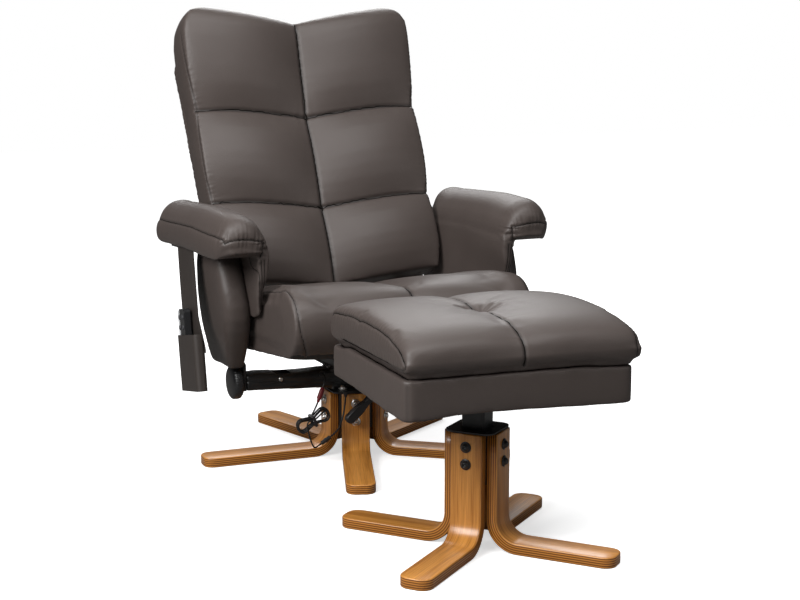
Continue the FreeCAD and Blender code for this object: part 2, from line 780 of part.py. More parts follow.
def arm_pad():
    front = ARM_FRONT + 46
    back = ARM_BACK - 110
    nose = [(ARM_FRONT, 25, 36), (ARM_FRONT + 9, 11, 17), (ARM_FRONT + 24, 3, 5), (front, 0, 0)]
    tail = [(back, 0, 0), (ARM_BACK - 50, 1, 4), (ARM_BACK - 20, 4, 11)]
    tail += [(ARM_BACK - 7, 11, 20), (ARM_BACK, 22, 34)]
    length = loft(arm_section, [nose[-1], tail[0]], 1)
    return arm_tilted(fuse(loft(arm_section, nose), length, loft(arm_section, tail)))


def upright_line(offset):
    low = BEAM_HALF + UPRIGHT_THICK / 2
    knee = BEAM_MID + KNOB_DIA / 2 + KNOB_GAP
    return [
        (low + offset, BEAM_MID - BEAM_END_HEIGHT / 2),
        (low + offset, knee),
        (low + 15 + offset, knee + 28),
        (UPRIGHT_TOP_X + offset, ARM_BOTTOM - ARM_PLATE / 2),
    ]


def arm_upright():
    half = UPRIGHT_WIDTH / 2
    y = BEAM_Y - half
    outline = [(x, y, z) for x, z in upright_line(-UPRIGHT_THICK / 2)]
    outline += [(x, y, z) for x, z in reversed(upright_line(UPRIGHT_THICK / 2))]
    bar = prism(outline, (0, UPRIGHT_WIDTH, 0))
    plate = rounded_block(ARM_IN + 13, ARM_OUT - 18, ARM_FRONT + 44, ARM_BACK - 44,
                          ARM_BOTTOM - ARM_PLATE, ARM_BOTTOM, 20)
    bore = STUD_DIA / 2 + RUN_CLEAR
    hole = rod(bore, (BEAM_HALF - 1, BEAM_Y, BEAM_MID), (BEAM_HALF + UPRIGHT_THICK + 1, BEAM_Y, BEAM_MID))
    return fuse(bar, arm_tilted(plate)).cut(hole)


def rounded_wire(x0, x1, y0, y1, z, r):
    k = r * (1 - SQ)
    edges = [
        seg((x0 + r, y0, z), (x1 - r, y0, z)),
        arc((x1 - r, y0, z), (x1 - k, y0 + k, z), (x1, y0 + r, z)),
        seg((x1, y0 + r, z), (x1, y1 - r, z)),
        arc((x1, y1 - r, z), (x1 - k, y1 - k, z), (x1 - r, y1, z)),
        seg((x1 - r, y1, z), (x0 + r, y1, z)),
        arc((x0 + r, y1, z), (x0 + k, y1 - k, z), (x0, y1 - r, z)),
        seg((x0, y1 - r, z), (x0, y0 + r, z)),
        arc((x0, y0 + r, z), (x0 + k, y0 + k, z), (x0 + r, y0, z)),
    ]
    return Part.Wire(edges)


def side_panel(upright):
    # A leaf of padding round the steel: narrow over the knob, fullest below the arm
    x = SEAT_HALF
    panel = loft(rounded_wire, [
        (x + 10, x + 42, -58.0, 56.0, PANEL_BOTTOM, 9.0),
        (x + 13, x + 61, -104.0, 68.0, 290.0, 16.0),
        (x + 17, x + 71, -134.0, 67.0, 346.0, 20.0),
        (x + 22, x + 78, -130.0, 60.0, 402.0, 22.0),
        (x + 26, x + 82, -92.0, 48.0, ARM_BOTTOM + 6, 22.0),
    ])
    return panel.cut(above_arm(ARM_BOTTOM - ARM_PLATE)).cut(upright)


def arm_lining():
    # A tongue of lining between arm and seat, drawn to a narrow foot
    x = LINING_X
    front = ARM_FRONT + 20
    outline = [
        (x, front, ARM_BOTTOM + 20),
        (x, front + 4, 440),
        (x, front + 26, 360),
        (x, front + 58, 350),
        (x, 92, 340),
        (x, ARM_BACK - 15, 366),
        (x, ARM_BACK - 11, ARM_BOTTOM + 20),
    ]
    tongue = prism(outline, (LINING_THICK, 0, 0))
    edges = []
    for edge in tongue.Edges:
        ends = [v.Point for v in edge.Vertexes]
        if abs(ends[0].x - ends[1].x) > 1 and ends[0].z < ARM_BOTTOM - 1:
            edges.append(edge)
    return tongue.makeFillet(14, edges).cut(above_arm(ARM_BOTTOM))


def clamp_knob():
    x0 = BEAM_HALF + UPRIGHT_THICK + FACE_CLEAR
    x1 = x0 + KNOB_THICK
    r = KNOB_DIA / 2
    edges = [
        seg((x0, 0, 0), (x0, 0, r - 10)),
        seg((x0, 0, r - 10), (x0 + 4, 0, r - 3)),
        seg((x0 + 4, 0, r - 3), (x0 + 8, 0, r)),
        seg((x0 + 8, 0, r), (x1 - 9, 0, r)),
        seg((x1 - 9, 0, r), (x1 - 3, 0, r - 7)),
        seg((x1 - 3, 0, r - 7), (x1, 0, 0.5 * r)),
        seg((x1, 0, 0.5 * r), (x1, 0, 0)),
        seg((x1, 0, 0), (x0, 0, 0)),
    ]
    knob = Part.Face(Part.Wire(edges)).revolve(V(0, 0, 0), V(1, 0, 0), 360)
    flutes = []
    for k in range(KNOB_FLUTES):
        t = 2 * math.pi * k / KNOB_FLUTES
        y = (r + 3) * math.cos(t)
        z = (r + 3) * math.sin(t)
        flutes.append(rod(5, (x0 - 1, y, z), (x1 + 1, y, z)))
    knob = knob.cut(Part.makeCompound(flutes))
    stud = rod(STUD_DIA / 2, (x0 - STUD_LENGTH, 0, 0), (x0, 0, 0))
    knob = fuse(knob, stud)
    knob.translate(V(0, BEAM_Y, BEAM_MID))
    return knob


def lever_bracket():
    back = LEVER_FRONT + LEVER_THICK + FACE_CLEAR
    ear = prism([
        (LEVER_X - 10, back, BEAM_Z + 4),
        (LEVER_X + 10, back, BEAM_Z + 4),
        (LEVER_X + 8, back, LEVER_Z - 6),
        (LEVER_X, back, LEVER_Z - 9),
        (LEVER_X - 8, back, LEVER_Z - 6),
    ], (0, 3, 0))
    tab = block(LEVER_X - 10, LEVER_X + 10, back, SADDLE_FRONT + 12, BEAM_Z, BEAM_Z + 4)
    pin = rod(LEVER_PIN / 2, (LEVER_X, back, LEVER_Z), (LEVER_X, LEVER_FRONT - FACE_CLEAR, LEVER_Z))
    head = rod(LEVER_PIN / 2 + 3, (LEVER_X, LEVER_FRONT - FACE_CLEAR - 2, LEVER_Z),
               (LEVER_X, LEVER_FRONT - FACE_CLEAR, LEVER_Z))
    return fuse(ear, tab, pin, head)


def release_lever():
    run = V(LEVER_TIP_X - LEVER_X, 0, LEVER_TIP_Z - LEVER_Z)
    length = run.Length
    y = LEVER_FRONT
    edges = [
        arc((0, y, 10), (-10, y, 0), (0, y, -10)),
        seg((0, y, -10), (0.38 * length, y, -7)),
        arc((0.38 * length, y, -7), (0.66 * length, y, -11), (0.93 * length, y, -11)),
        arc((0.93 * length, y, -11), (length + 9, y, 0), (0.93 * length, y, 11)),
        arc((0.93 * length, y, 11), (0.66 * length, y, 11), (0.38 * length, y, 7)),
        seg((0.38 * length, y, 7), (0, y, 10)),
    ]
    body = Part.Face(Part.Wire(edges)).extrude(V(0, LEVER_THICK, 0))
    rims = [e for e in body.Edges if abs(e.BoundBox.YLength) < 1e-4]
    body = body.makeChamfer(2.5, rims)
    body = body.cut(rod(LEVER_PIN / 2 + RUN_CLEAR, (0, y - 1, 0), (0, y + LEVER_THICK + 1, 0)))
    body.rotate(V(0, 0, 0), V(0, 1, 0), -math.degrees(math.atan2(run.z, run.x)))
    body.translate(V(LEVER_X, 0, LEVER_Z))
    return body


def slanted(shape):
    # The holder hangs from the arm with its foot swung a little forwards
    swung = shape.copy()
    swung.rotate(V(0, 0, ARM_BOTTOM), V(1, 0, 0), -POCKET_SLANT)
    return swung


def remote_pocket():
    x1 = POCKET_X
    x0 = POCKET_X - POCKET_DEPTH
    strap = block(x1 - SHEET, x1, POCKET_Y0 - 2, POCKET_Y1 + 18, POCKET_MOUTH - 40, ARM_BOTTOM + 30)
    outer = Part.Face(rounded_wire(x0, x1, POCKET_Y0, POCKET_Y1, POCKET_BOTTOM, 10.0))
    pouch = outer.extrude(V(0, 0, POCKET_MOUTH - POCKET_BOTTOM))
    inner = Part.Face(rounded_wire(x0 + SHEET, x1 - SHEET, POCKET_Y0 + SHEET, POCKET_Y1 - SHEET,
                                   POCKET_BOTTOM + SHEET, 8.0))
    pouch = pouch.cut(inner.extrude(V(0, 0, POCKET_MOUTH)))
    return slanted(fuse(pouch, strap)).cut(above_arm(ARM_BOTTOM))


def remote_x():
    return POCKET_X - SHEET - 3.0 - REMOTE_THICK


def key_places():
    top = remote_z() + REMOTE_LENGTH
    return [(REMOTE_Y + dy, top - dz) for dz in (18, 40) for dy in (-11, 11)]


def remote_z():
    return POCKET_BOTTOM + SHEET + 2.0


def key_depth():
    return REMOTE_FACE + KEY_TRAVEL + 1.0


def remote_blank(x0, x1, inset):
    y0 = REMOTE_Y - REMOTE_WIDTH / 2 + inset
    y1 = REMOTE_Y + REMOTE_WIDTH / 2 - inset
    z0 = remote_z() + inset
    body = block(x0, x1, y0, y1, z0, remote_z() + REMOTE_LENGTH - inset)
    along = [e for e in body.Edges if abs(e.BoundBox.XLength - (x1 - x0)) < 1e-4]
    return body.makeFillet(9, along)


def remote_shell():
    shell = remote_blank(remote_x() + REMOTE_FACE, remote_x() + REMOTE_THICK, 0)
    rims = [e for e in shell.Edges if e.BoundBox.XMin > remote_x() + REMOTE_THICK - 0.01]
    shell = shell.makeChamfer(3, rims)
    end = remote_x() + key_depth() + KEY_TRAVEL
    for y, z in key_places():
        shell = shell.cut(rod(KEY_DIA / 2 + SLIDE_CLEAR, (remote_x(), y, z), (end, y, z)))
    return shell


def remote_face():
    face = remote_blank(remote_x(), remote_x() + REMOTE_FACE, 2)
    for y, z in key_places():
        face = face.cut(rod(KEY_DIA / 2 + SLIDE_CLEAR, (remote_x() - 1, y, z), (remote_x() + 9, y, z)))
    return face


def remote_key(y, z):
    key = rod(KEY_DIA / 2, (remote_x() - KEY_TRAVEL - 0.4, y, z), (remote_x() + key_depth() - 0.4, y, z))
    rim = [e for e in key.Edges if e.BoundBox.XMax < remote_x()]
    return key.makeChamfer(0.6, rim)


def cord_tube(name, points):
    spots = [V(*p) for p in points]
    runs = [b - a for a, b in zip(spots, spots[1:])]
    edges = []
    radii = []
    length = 0.0
    start = spots[0]
    for k in range(1, len(spots) - 1):
        before = V(runs[k - 1]).normalize()
        after = V(runs[k]).normalize()
        turn = before.getAngle(after)
        reach = 0.45 * min(runs[k - 1].Length, runs[k].Length)
        radius = reach / math.tan(turn / 2)
        a = spots[k] - before * reach
        b = spots[k] + after * reach
        inward = V(after - before).normalize()
        middle = spots[k] + inward * (radius / math.cos(turn / 2) - radius)
        edges.append(Part.LineSegment(start, a).toShape())
        edges.append(Part.Arc(a, middle, b).toShape())
        radii.append(round(radius, 1))
        start = b
    edges.append(Part.LineSegment(start, spots[-1]).toShape())
    length = sum(e.Length for e in edges)
    tube = sweep(edges, spots[0], runs[0])
    share = tube.Volume / (math.pi * CORD_DIA ** 2 / 4 * length)
    print(name, "radii", radii, "length", round(length, 1), "volume share", round(share, 4))
    return tube


def sweep(edges, start, heading):
    ring = Part.Wire(Part.makeCircle(CORD_DIA / 2, start, heading))
    return Part.Wire(edges).makePipeShell([ring], True, False)


def biarc(p, t, q, u):
    # Two arcs, tangent at both ends and to each other
    v = q - p
    both = t + u
    share = 2 * (1 - t.dot(u))
    if share < 1e-9:
        d = v.dot(v) / (4 * v.dot(u))
    else:
        d = (math.sqrt(v.dot(both) ** 2 + 2 * share * v.dot(v) / 2) - v.dot(both)) / share
    joint = (p + q + (t - u) * d) * 0.5
    return [half_biarc(p, p + t * d, joint, d), half_biarc(joint, q - u * d, q, d)]


def half_biarc(a, corner, b, d):
    middle = (a + b) * 0.5
    rise = corner - middle
    if rise.Length < 1e-4:
        return Part.LineSegment(a, b).toShape()
    half = math.asin(min(1.0, rise.Length / d))
    sag = d * (1 - math.cos(half)) / math.tan(half)
    return Part.Arc(a, middle + V(rise).normalize() * sag, b).toShape()


def hank_stations():
    # Loops round the tie: two lobes and a drawn-in waist,
    # spiralling out in one layer and in again in the next
    stations = []
    per_turn = 8
    last = HANK_LAYERS - 1
    for layer in range(HANK_LAYERS):
        for k in range(per_turn):
            spread = k / per_turn if layer % 2 == 0 else 1 - k / per_turn
            depth = float(layer)
            if layer == 0:
                depth -= max(0.0, 1 - k / 4)
            if layer == last:
                depth += max(0.0, k / 4 - 1)
            stations.append((k, spread, depth * HANK_PITCH))
    stations.append((0, 0.0, HANK_LAYERS * HANK_PITCH))
    return stations


def hank_place(station, spread, depth):
    lobe = HANK_LOBE + spread * HANK_STEP
    waist = HANK_WAIST + spread * (HANK_STEP + 0.3)
    reach = HANK_LENGTH + spread * HANK_STEP
    shoulder = reach - lobe
    spots = (
        (0, waist, -1, 0),
        (-shoulder, lobe, -1, 0),
        (-reach, 0, 0, -1),
        (-shoulder, -lobe, 1, 0),
        (0, -waist, 1, 0),
        (shoulder, -lobe, 1, 0),
        (reach, 0, 0, 1),
        (shoulder, lobe, -1, 0),
    )
    a, b, da, db = spots[station]
    heading = hank_spot(da, db, 0) - hank_spot(0, 0, 0)
    return hank_spot(a, b, depth), heading


def hank_spot(a, b, depth):
    tilt = math.radians(HANK_ANGLE)
    long_way = V(math.cos(tilt), 0, math.sin(tilt))
    cross = V(-math.sin(tilt), 0, math.cos(tilt))
    return V(*HANK_CENTRE) + long_way * a + cross * b + V(0, -depth, 0)


def cord_hank():
    top = V(*CONNECTOR_FOOT)
    drop = V(top - V(*CONNECTOR_TOP)).normalize()
    coupler, along = coupler_line()
    foot = coupler - along * (COUPLER_LENGTH / 2)
    front = HANK_LAYERS * HANK_PITCH
    down = V(hank_spot(0, -1, 0) - hank_spot(0, 0, 0))
    places = [(top, drop), (top + drop * CORD_DIA, drop)]
    places += [hank_place(*station) for station in hank_stations()]
    places.append((hank_spot(-HANK_LOBE - 4, -HANK_LOBE, front), down))
    places += [(foot - along * CORD_DIA, along), (foot, along)]
    edges = []
    for (p, t), (q, u) in zip(places, places[1:]):
        edges += biarc(p, t, q, u)
    tube = sweep(edges, top, drop)
    length = sum(e.Length for e in edges)
    share = tube.Volume / (math.pi * CORD_DIA ** 2 / 4 * length)
    print("hank length", round(length, 1), "volume share", round(share, 4))
    print("hank least gap", round(least_gap(edges), 2))
    return tube


def least_gap(edges):
    points = []
    run = 0.0
    for edge in edges:
        count = max(2, int(edge.Length / 1.0))
        for k in range(count):
            here = edge.FirstParameter + (edge.LastParameter - edge.FirstParameter) * k / count
            points.append((run + edge.Length * k / count, edge.valueAt(here)))
        run += edge.Length
    least = 1e9
    for i, (si, pi) in enumerate(points):
        for sj, pj in points[i + 1:]:
            if sj - si > 4 * CORD_DIA:
                least = min(least, (pi - pj).Length)
    return least - CORD_DIA


def coupler_line():
    heading = V(0.86, 0, 0.51).normalize()
    return V(*COUPLER_CENTRE), heading


def red_connector():
    top = V(*CONNECTOR_TOP)
    foot = V(*CONNECTOR_FOOT)
    way = V(foot - top).normalize()
    length = (foot - top).Length
    wide = CONNECTOR_DIA / 2
    slim = CORD_DIA / 2 + 1.2
    body = Part.makeCylinder(wide, 0.62 * length, top + way * (0.16 * length), way)
    nose = Part.makeCone(slim, wide, 0.16 * length, top, way)
    tail = Part.makeCone(wide - 1.5, slim, 0.22 * length, top + way * (0.78 * length), way)
    return fuse(body, nose, tail)


def inline_coupler():
    centre, along = coupler_line()
    start = centre - along * (COUPLER_LENGTH / 2)
    r = COUPLER_DIA / 2
    body = Part.makeCylinder(r, COUPLER_LENGTH, start, along)
    collar = Part.makeCylinder(r + 0.8, 5, centre - along * 2.5, along)
    return fuse(body, collar)


def hank_tie():
    # A wire tie wrapped round the drawn-in waist
    spare = CORD_DIA / 2 + 0.1
    half = HANK_WAIST + HANK_STEP + 0.3 + spare
    near = HANK_CENTRE[1] + HANK_PITCH + spare
    far = HANK_CENTRE[1] - HANK_LAYERS * HANK_PITCH - spare
    wall = 1.4
    outer = block(-3, 3, far - wall, near + wall, -half - wall, half + wall)
    ring = outer.cut(block(-4, 4, far, near, -half, half))
    ring.rotate(V(0, 0, 0), V(0, 1, 0), -HANK_ANGLE)
    ring.translate(V(HANK_CENTRE[0], 0, HANK_CENTRE[2]))
    return ring


def grommet_point():
    top = V(*CONNECTOR_TOP)
    way = V(V(*CONNECTOR_FOOT) - top).normalize()
    corner = top - way * 26.0
    return V(corner.x, BEAM_Y - BEAM_DEPTH / 2, corner.z)


def cable_grommet():
    face = grommet_point()
    flange = Part.makeCylinder(7, 2, face, V(0, -1, 0))
    nose = Part.makeCone(5, 3.2, 3, face + V(0, -2, 0), V(0, -1, 0))
    return fuse(flange, nose)


def cord_lead():
    face = grommet_point()
    start = face + V(0, -5, 0)
    corner = V(face.x, CORD_Y, face.z)
    return cord_tube("lead", [tuple(start), tuple(corner), CONNECTOR_TOP])


def cable_gland():
    x, y, z = GLAND_POINT
    top = SADDLE_Z
    body = Part.makeCylinder(5.5, 5, V(x, y, top - 5))
    nose = Part.makeCone(2.6, 4.6, GLAND_LENGTH - 5, V(x, y, top - GLAND_LENGTH))
    return fuse(body, nose)


def cord_tail():
    centre, along = coupler_line()
    start = centre + along * (COUPLER_LENGTH / 2)
    x, y, z = GLAND_POINT
    end = SADDLE_Z - GLAND_LENGTH
    points = [
        tuple(start),
        tuple(start + along * 18),
        (-66.0, CORD_Y - 7, 86.0),
        (x - 2, y, end - 24.0),
        (x, y, end),
    ]
    return cord_tube("tail", points)


def stool_place(shape):
    return turned(shape, STOOL_YAW, STOOL_X, STOOL_Y)


def stool_core():
    rise = STOOL_TOP - STOOL_CORE_BOTTOM
    inner = STOOL_FACE - CORE_WALL
    first = STOOL_FIRST
    shell = regular(STOOL_LEGS, STOOL_FACE, first, STOOL_CORE_BOTTOM, rise)
    shell = shell.cut(regular(STOOL_LEGS, inner, first, STOOL_CORE_BOTTOM - 1, rise + 2))
    upper = regular(STOOL_LEGS, inner, first, STOOL_TOP - CORE_WALL, CORE_WALL)
    lower = regular(STOOL_LEGS, inner, first, STOOL_CORE_BOTTOM, CORE_WALL)
    core = fuse(shell, upper, lower)
    core = tapped(core, STOOL_LEGS, STOOL_FACE, first, STOOL_TOP, STOOL_BOLT_DROPS)
    core = core.cut(post_block(STOOL_POST / 2, STOOL_CORE_BOTTOM - 1, STOOL_TOP + 1))
    core.translate(V(STOOL_X, STOOL_Y, 0))
    return core


def post_block(half, z0, z1):
    return turned(rounded_block(-half, half, -half, half, z0, z1, 4), STOOL_FIRST)


def stool_hub_plate():
    apothem = STOOL_FACE + LEG_THICK - HUB_INSET
    plate = regular(STOOL_LEGS, apothem, STOOL_FIRST, STOOL_TOP, HUB_PLATE)
    plate = plate.makeFillet(20, upright_edges(plate, lambda p: True))
    plate = plate.cut(post_block(STOOL_POST / 2, STOOL_TOP - 1, STOOL_TOP + HUB_PLATE + 1))
    plate.translate(V(STOOL_X, STOOL_Y, 0))
    return plate


def stool_post():
    half = STOOL_POST / 2
    top = STOOL_BOX_BOTTOM - STOOL_HEAD
    tube = post_block(half, STOOL_CORE_BOTTOM, top)
    tube = tube.cut(post_block(half - STOOL_POST_WALL, STOOL_CORE_BOTTOM - 1, top - STOOL_POST_WALL))
    head = rounded_block(-STOOL_HEAD_HALF, STOOL_HEAD_HALF, -STOOL_HEAD_HALF, STOOL_HEAD_HALF,
                         top, STOOL_BOX_BOTTOM, 10)
    post = fuse(tube, turned(head, STOOL_YAW))
    post.translate(V(STOOL_X, STOOL_Y, 0))
    return post


def stool_box():
    hx = STOOL_HALF_X
    hy = STOOL_HALF_Y
    box = rounded_block(-hx, hx, -hy, hy, STOOL_BOX_BOTTOM, STOOL_BOX_TOP, STOOL_CORNER)
    wx = hx - STOOL_WALL
    wy = hy - STOOL_WALL
    room = rounded_block(-wx, wx, -wy, wy, STOOL_BOX_BOTTOM + STOOL_FLOOR, STOOL_BOX_TOP + 1, 6)
    return stool_place(box.cut(room))


def lid_board():
    hx = STOOL_HALF_X
    hy = STOOL_HALF_Y
    return stool_place(rounded_block(-hx, hx, -hy, hy, LID_Z, LID_SOFT_Z, STOOL_CORNER))


def lid_section(x, drop, pull):
    y = STOOL_HALF_Y + LID_OVERHANG - pull
    side = LID_SIDE - drop
    crown = LID_CROWN - 1.3 * drop
    bulge = (LID_SOFT_Z + side) / 2
    edges = [
        seg((x, -y + 5, LID_SOFT_Z), (x, y - 5, LID_SOFT_Z)),
        arc((x, y - 5, LID_SOFT_Z), (x, y, bulge), (x, y - 8, side)),
        arc((x, y - 8, side), (x, 0, crown), (x, 8 - y, side)),
        arc((x, 8 - y, side), (x, -y, bulge), (x, 5 - y, LID_SOFT_Z)),
    ]
    return Part.Wire(edges)


def lid_cushion():
    edge = STOOL_HALF_X + LID_OVERHANG
    half = loft(lid_section, [
        (0.0, 9.0, 3.0),
        (0.2 * edge, 2.0, 1.0),
        (0.5 * edge, 0.0, 0.0),
        (0.84 * edge, 4.0, 1.0),
        (edge - 8, 9.0, 4.0),
        (edge, 19.0, 10.0),
    ])
    pad = fuse(half, mirrored(half))
    tuft = Part.makeCone(4, 60, 30, V(0, 0, LID_CROWN - 28))
    return stool_place(pad.cut(tuft))


def hinge_axis():
    return STOOL_HALF_Y + HINGE_BARREL / 2 + 1.0, STOOL_BOX_TOP + LID_GAP / 2


def hinge_leaf(x, upper):
    y, z = hinge_axis()
    wall = STOOL_HALF_Y
    third = HINGE_LENGTH / 3
    half = HINGE_LENGTH / 2
    outside = wall + HINGE_LEAF
    r = HINGE_BARREL / 2
    shy = 0.5 * r + HINGE_PLAY
    if upper:
        spans = [(x - third / 2 + FACE_CLEAR, x + third / 2 - FACE_CLEAR)]
        leaf = block(x - half, x + half, wall, outside, z + shy, LID_SOFT_Z - 1)
    else:
        spans = [(x - 1.5 * third, x - third / 2), (x + third / 2, x + 1.5 * third)]
        leaf = block(x - half, x + half, wall, outside, z - 34, z - shy)
    pieces = [leaf]
    for x0, x1 in spans:
        pieces.append(rod(r, (x0, y, z), (x1, y, z)))
        if upper:
            pieces.append(block(x0, x1, wall, y, z + shy, z + r))
        else:
            pieces.append(block(x0, x1, wall, y, z - r, z - shy))
    leaf = fuse(*pieces)
    bore = HINGE_PIN / 2 + HINGE_PLAY
    if upper:
        return leaf.cut(rod(bore, (x - HINGE_LENGTH, y, z), (x + HINGE_LENGTH, y, z)))
    return fuse(leaf, rod(HINGE_PIN / 2, (x - half, y, z), (x + half, y, z)))


def hinge_leaves(upper):
    return Part.makeCompound([stool_place(hinge_leaf(x, upper)) for x in (-HINGE_X, HINGE_X)])


def export(name, shape):
    placed = shape.copy()
    placed.translate(V(-ORIGIN_X, -ORIGIN_Y, 0))
    good = placed.isValid() and all(s.Volume > 0 for s in placed.Solids)
    print(name, "solids", len(placed.Solids), "volume", round(placed.Volume / 1000, 1), "valid", good)
    placed.exportStep("parts/" + name + ".step")


def export_chair_base():
    board = leg(CHAIR_FACE, CHAIR_REACH, CHAIR_TOP, CHAIR_BEND, CHAIR_BOLT_DROPS)
    for k in range(CHAIR_LEGS):
        export("chair_leg_%d" % (k + 1), turned(board, CHAIR_FIRST + k * 360.0 / CHAIR_LEGS))
    export("chair_hub_core", chair_core())
    export("chair_hub_plate", chair_hub_plate())
    export("chair_leg_bolts", leg_bolts(CHAIR_LEGS, CHAIR_FACE, CHAIR_FIRST, CHAIR_TOP, CHAIR_BOLT_DROPS))
    export("swivel_bush", swivel_bush())


def export_carrier():
    export("swivel_plate", swivel_plate())
    export("frame_bolts", frame_bolts())
    export("cross_beam", cross_beam())
    upright = arm_upright()
    panel = side_panel(upright)
    pad = arm_pad()
    lining = arm_lining()
    export("arm_upright_left", upright)
    export("arm_upright_right", mirrored(upright))
    export("side_panel_left", panel)
    export("side_panel_right", mirrored(panel))
    export("arm_pad_left", pad)
    export("arm_pad_right", mirrored(pad))
    export("arm_lining_left", lining)
    export("arm_lining_right", mirrored(lining))
    export("remote_pocket", remote_pocket())


def export_cord():
    export("cable_grommet", cable_grommet())
    export("cord_lead", cord_lead())
    export("red_connector", red_connector())
    export("cord_hank", cord_hank())
    export("hank_tie", hank_tie())
    export("inline_coupler", inline_coupler())
    export("cord_tail", cord_tail())
    export("cable_gland", cable_gland())


def export_seat_and_back():
    motors = seat_motors()
    export("seat_frame", seat_frame())
    export("seat_pan", block(-PAN_HALF, PAN_HALF, PAN_FRONT, PAN_BACK, PAN_Z, PAN_Z + PAN_THICK))
    export("seat_motors", motors)
    export("seat_cushion", seat_cushion(motors))
    motors = back_motors()
    export("back_frame", back_frame())
    export("back_board", back_board())
    export("back_motors", motors)
    export("back_cushion", back_cushion(motors))
    export("back_cover", back_cover())


def export_controls():
    knob = clamp_knob()
    export("clamp_knob_left", knob)
    export("clamp_knob_right", mirrored(knob))
    export("release_lever", release_lever())
    export("remote_shell", slanted(remote_shell()))
    export("remote_face", slanted(remote_face()))
    for k, (y, z) in enumerate(key_places()):
        export("remote_key_%d" % (k + 1), slanted(remote_key(y, z)))


def export_footstool():
    board = leg(STOOL_FACE, STOOL_REACH, STOOL_TOP, STOOL_BEND, STOOL_BOLT_DROPS)
    for k in range(STOOL_LEGS):
        angle = STOOL_FIRST + k * 360.0 / STOOL_LEGS
        export("stool_leg_%d" % (k + 1), turned(board, angle, STOOL_X, STOOL_Y))
    export("stool_core", stool_core())
    export("stool_hub_plate", stool_hub_plate())
    export("stool_leg_bolts",
           leg_bolts(STOOL_LEGS, STOOL_FACE, STOOL_FIRST, STOOL_TOP, STOOL_BOLT_DROPS, STOOL_X, STOOL_Y))
    export("stool_post", stool_post())
    export("stool_box", stool_box())
    export("stool_hinge_lower", hinge_leaves(False))
    export("stool_hinge_upper", hinge_leaves(True))
    export("lid_board", lid_board())
    export("lid_cushion", lid_cushion())


os.makedirs("parts", exist_ok=True)
export_chair_base()
export_carrier()
export_cord()
export_seat_and_back()
export_controls()
export_footstool()
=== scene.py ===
import json
import math
import bpy
import bmesh
import numpy as np
from mathutils import Matrix, Vector
from mathutils.bvhtree import BVHTree


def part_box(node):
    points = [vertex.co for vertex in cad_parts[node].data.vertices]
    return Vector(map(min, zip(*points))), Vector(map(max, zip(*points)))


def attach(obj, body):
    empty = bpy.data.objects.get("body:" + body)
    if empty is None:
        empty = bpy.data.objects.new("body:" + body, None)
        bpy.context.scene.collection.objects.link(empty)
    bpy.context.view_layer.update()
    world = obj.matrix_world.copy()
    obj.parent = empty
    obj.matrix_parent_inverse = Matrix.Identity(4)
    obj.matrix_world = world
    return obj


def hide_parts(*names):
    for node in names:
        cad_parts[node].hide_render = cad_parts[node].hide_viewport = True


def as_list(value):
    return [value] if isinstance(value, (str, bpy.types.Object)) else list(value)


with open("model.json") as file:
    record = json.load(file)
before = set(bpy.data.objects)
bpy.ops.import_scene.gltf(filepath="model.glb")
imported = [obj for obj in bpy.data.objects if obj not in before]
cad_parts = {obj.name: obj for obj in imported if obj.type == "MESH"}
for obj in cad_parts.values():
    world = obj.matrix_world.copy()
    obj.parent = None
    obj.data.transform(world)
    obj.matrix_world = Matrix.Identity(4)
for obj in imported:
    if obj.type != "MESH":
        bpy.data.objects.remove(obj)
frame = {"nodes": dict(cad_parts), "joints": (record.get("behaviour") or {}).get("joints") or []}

mm = 0.001
scene = bpy.context.scene
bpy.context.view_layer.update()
swivel = Vector(next(j["pos_m"] for j in frame["joints"] if j["name"] == "seat_swivel"))
swivel.z = 0


def fromChair(x, y, z):
    # millimetres about the swivel axis, as the chair was measured
    return swivel + Vector((x, y, z)) * mm


def linked(name, data):
    obj = bpy.data.objects.new(name, data)
    scene.collection.objects.link(obj)
    return obj


def meshOf(bm, name):
    mesh = bpy.data.meshes.new(name)
    bm.to_mesh(mesh)
    bm.free()
    return mesh


def turned(bm, outline, axis, steps):
    # a profile spun once round the axis
    start = [bm.verts.new(place) for place in outline]
    edges = [bm.edges.new(pair) for pair in zip(start, start[1:])]
    bmesh.ops.spin(bm, geom=start + edges, cent=(0, 0, 0), axis=axis, dvec=(0, 0, 0), angle=2 * math.pi,
                   steps=steps, use_merge=True, use_duplicate=False)


def sliced(bm, place, way, near):
    everything = bm.verts[:] + bm.edges[:] + bm.faces[:]
    bmesh.ops.bisect_plane(bm, geom=everything, dist=near, plane_co=place, plane_no=way)


def rounded(bm, edges, size, steps, **more):
    bmesh.ops.bevel(bm, geom=edges, offset=size, offset_type="OFFSET", segments=steps, profile=0.5,
                    affect="EDGES", material=-1, **more)


def outward(bm):
    bmesh.ops.recalc_face_normals(bm, faces=bm.faces[:])


def meshFrom(obj):
    # the mesh with its modifiers and bevels worked out
    graph = bpy.context.evaluated_depsgraph_get()
    return bpy.data.meshes.new_from_object(obj.evaluated_get(graph))


# camera, light and floor
print("stage: camera and light")
photo = {"lens": 70.69, "place": (-1.34611, -2.94530, 0.94822), "tilt": 80.074, "turn": -24.706}
cameraData = bpy.data.cameras.new("photoCamera")
cameraData.lens = photo["lens"]
cameraData.sensor_width = 36
camera = linked("photoCamera", cameraData)
camera.location = photo["place"]
camera.rotation_euler = (math.radians(photo["tilt"]), 0, math.radians(photo["turn"]))
scene.camera = camera
scene.view_settings.view_transform = "Standard"


lightAim = Vector((0, 0, 0.5))


def areaLight(name, place, size, power):
    data = bpy.data.lights.new(name, "AREA")
    data.shape = "RECTANGLE"
    data.size, data.size_y = size
    data.energy = power
    lamp = linked(name, data)
    lamp.location = place
    lamp.rotation_euler = (lightAim - Vector(place)).to_track_quat("-Z", "Y").to_euler()


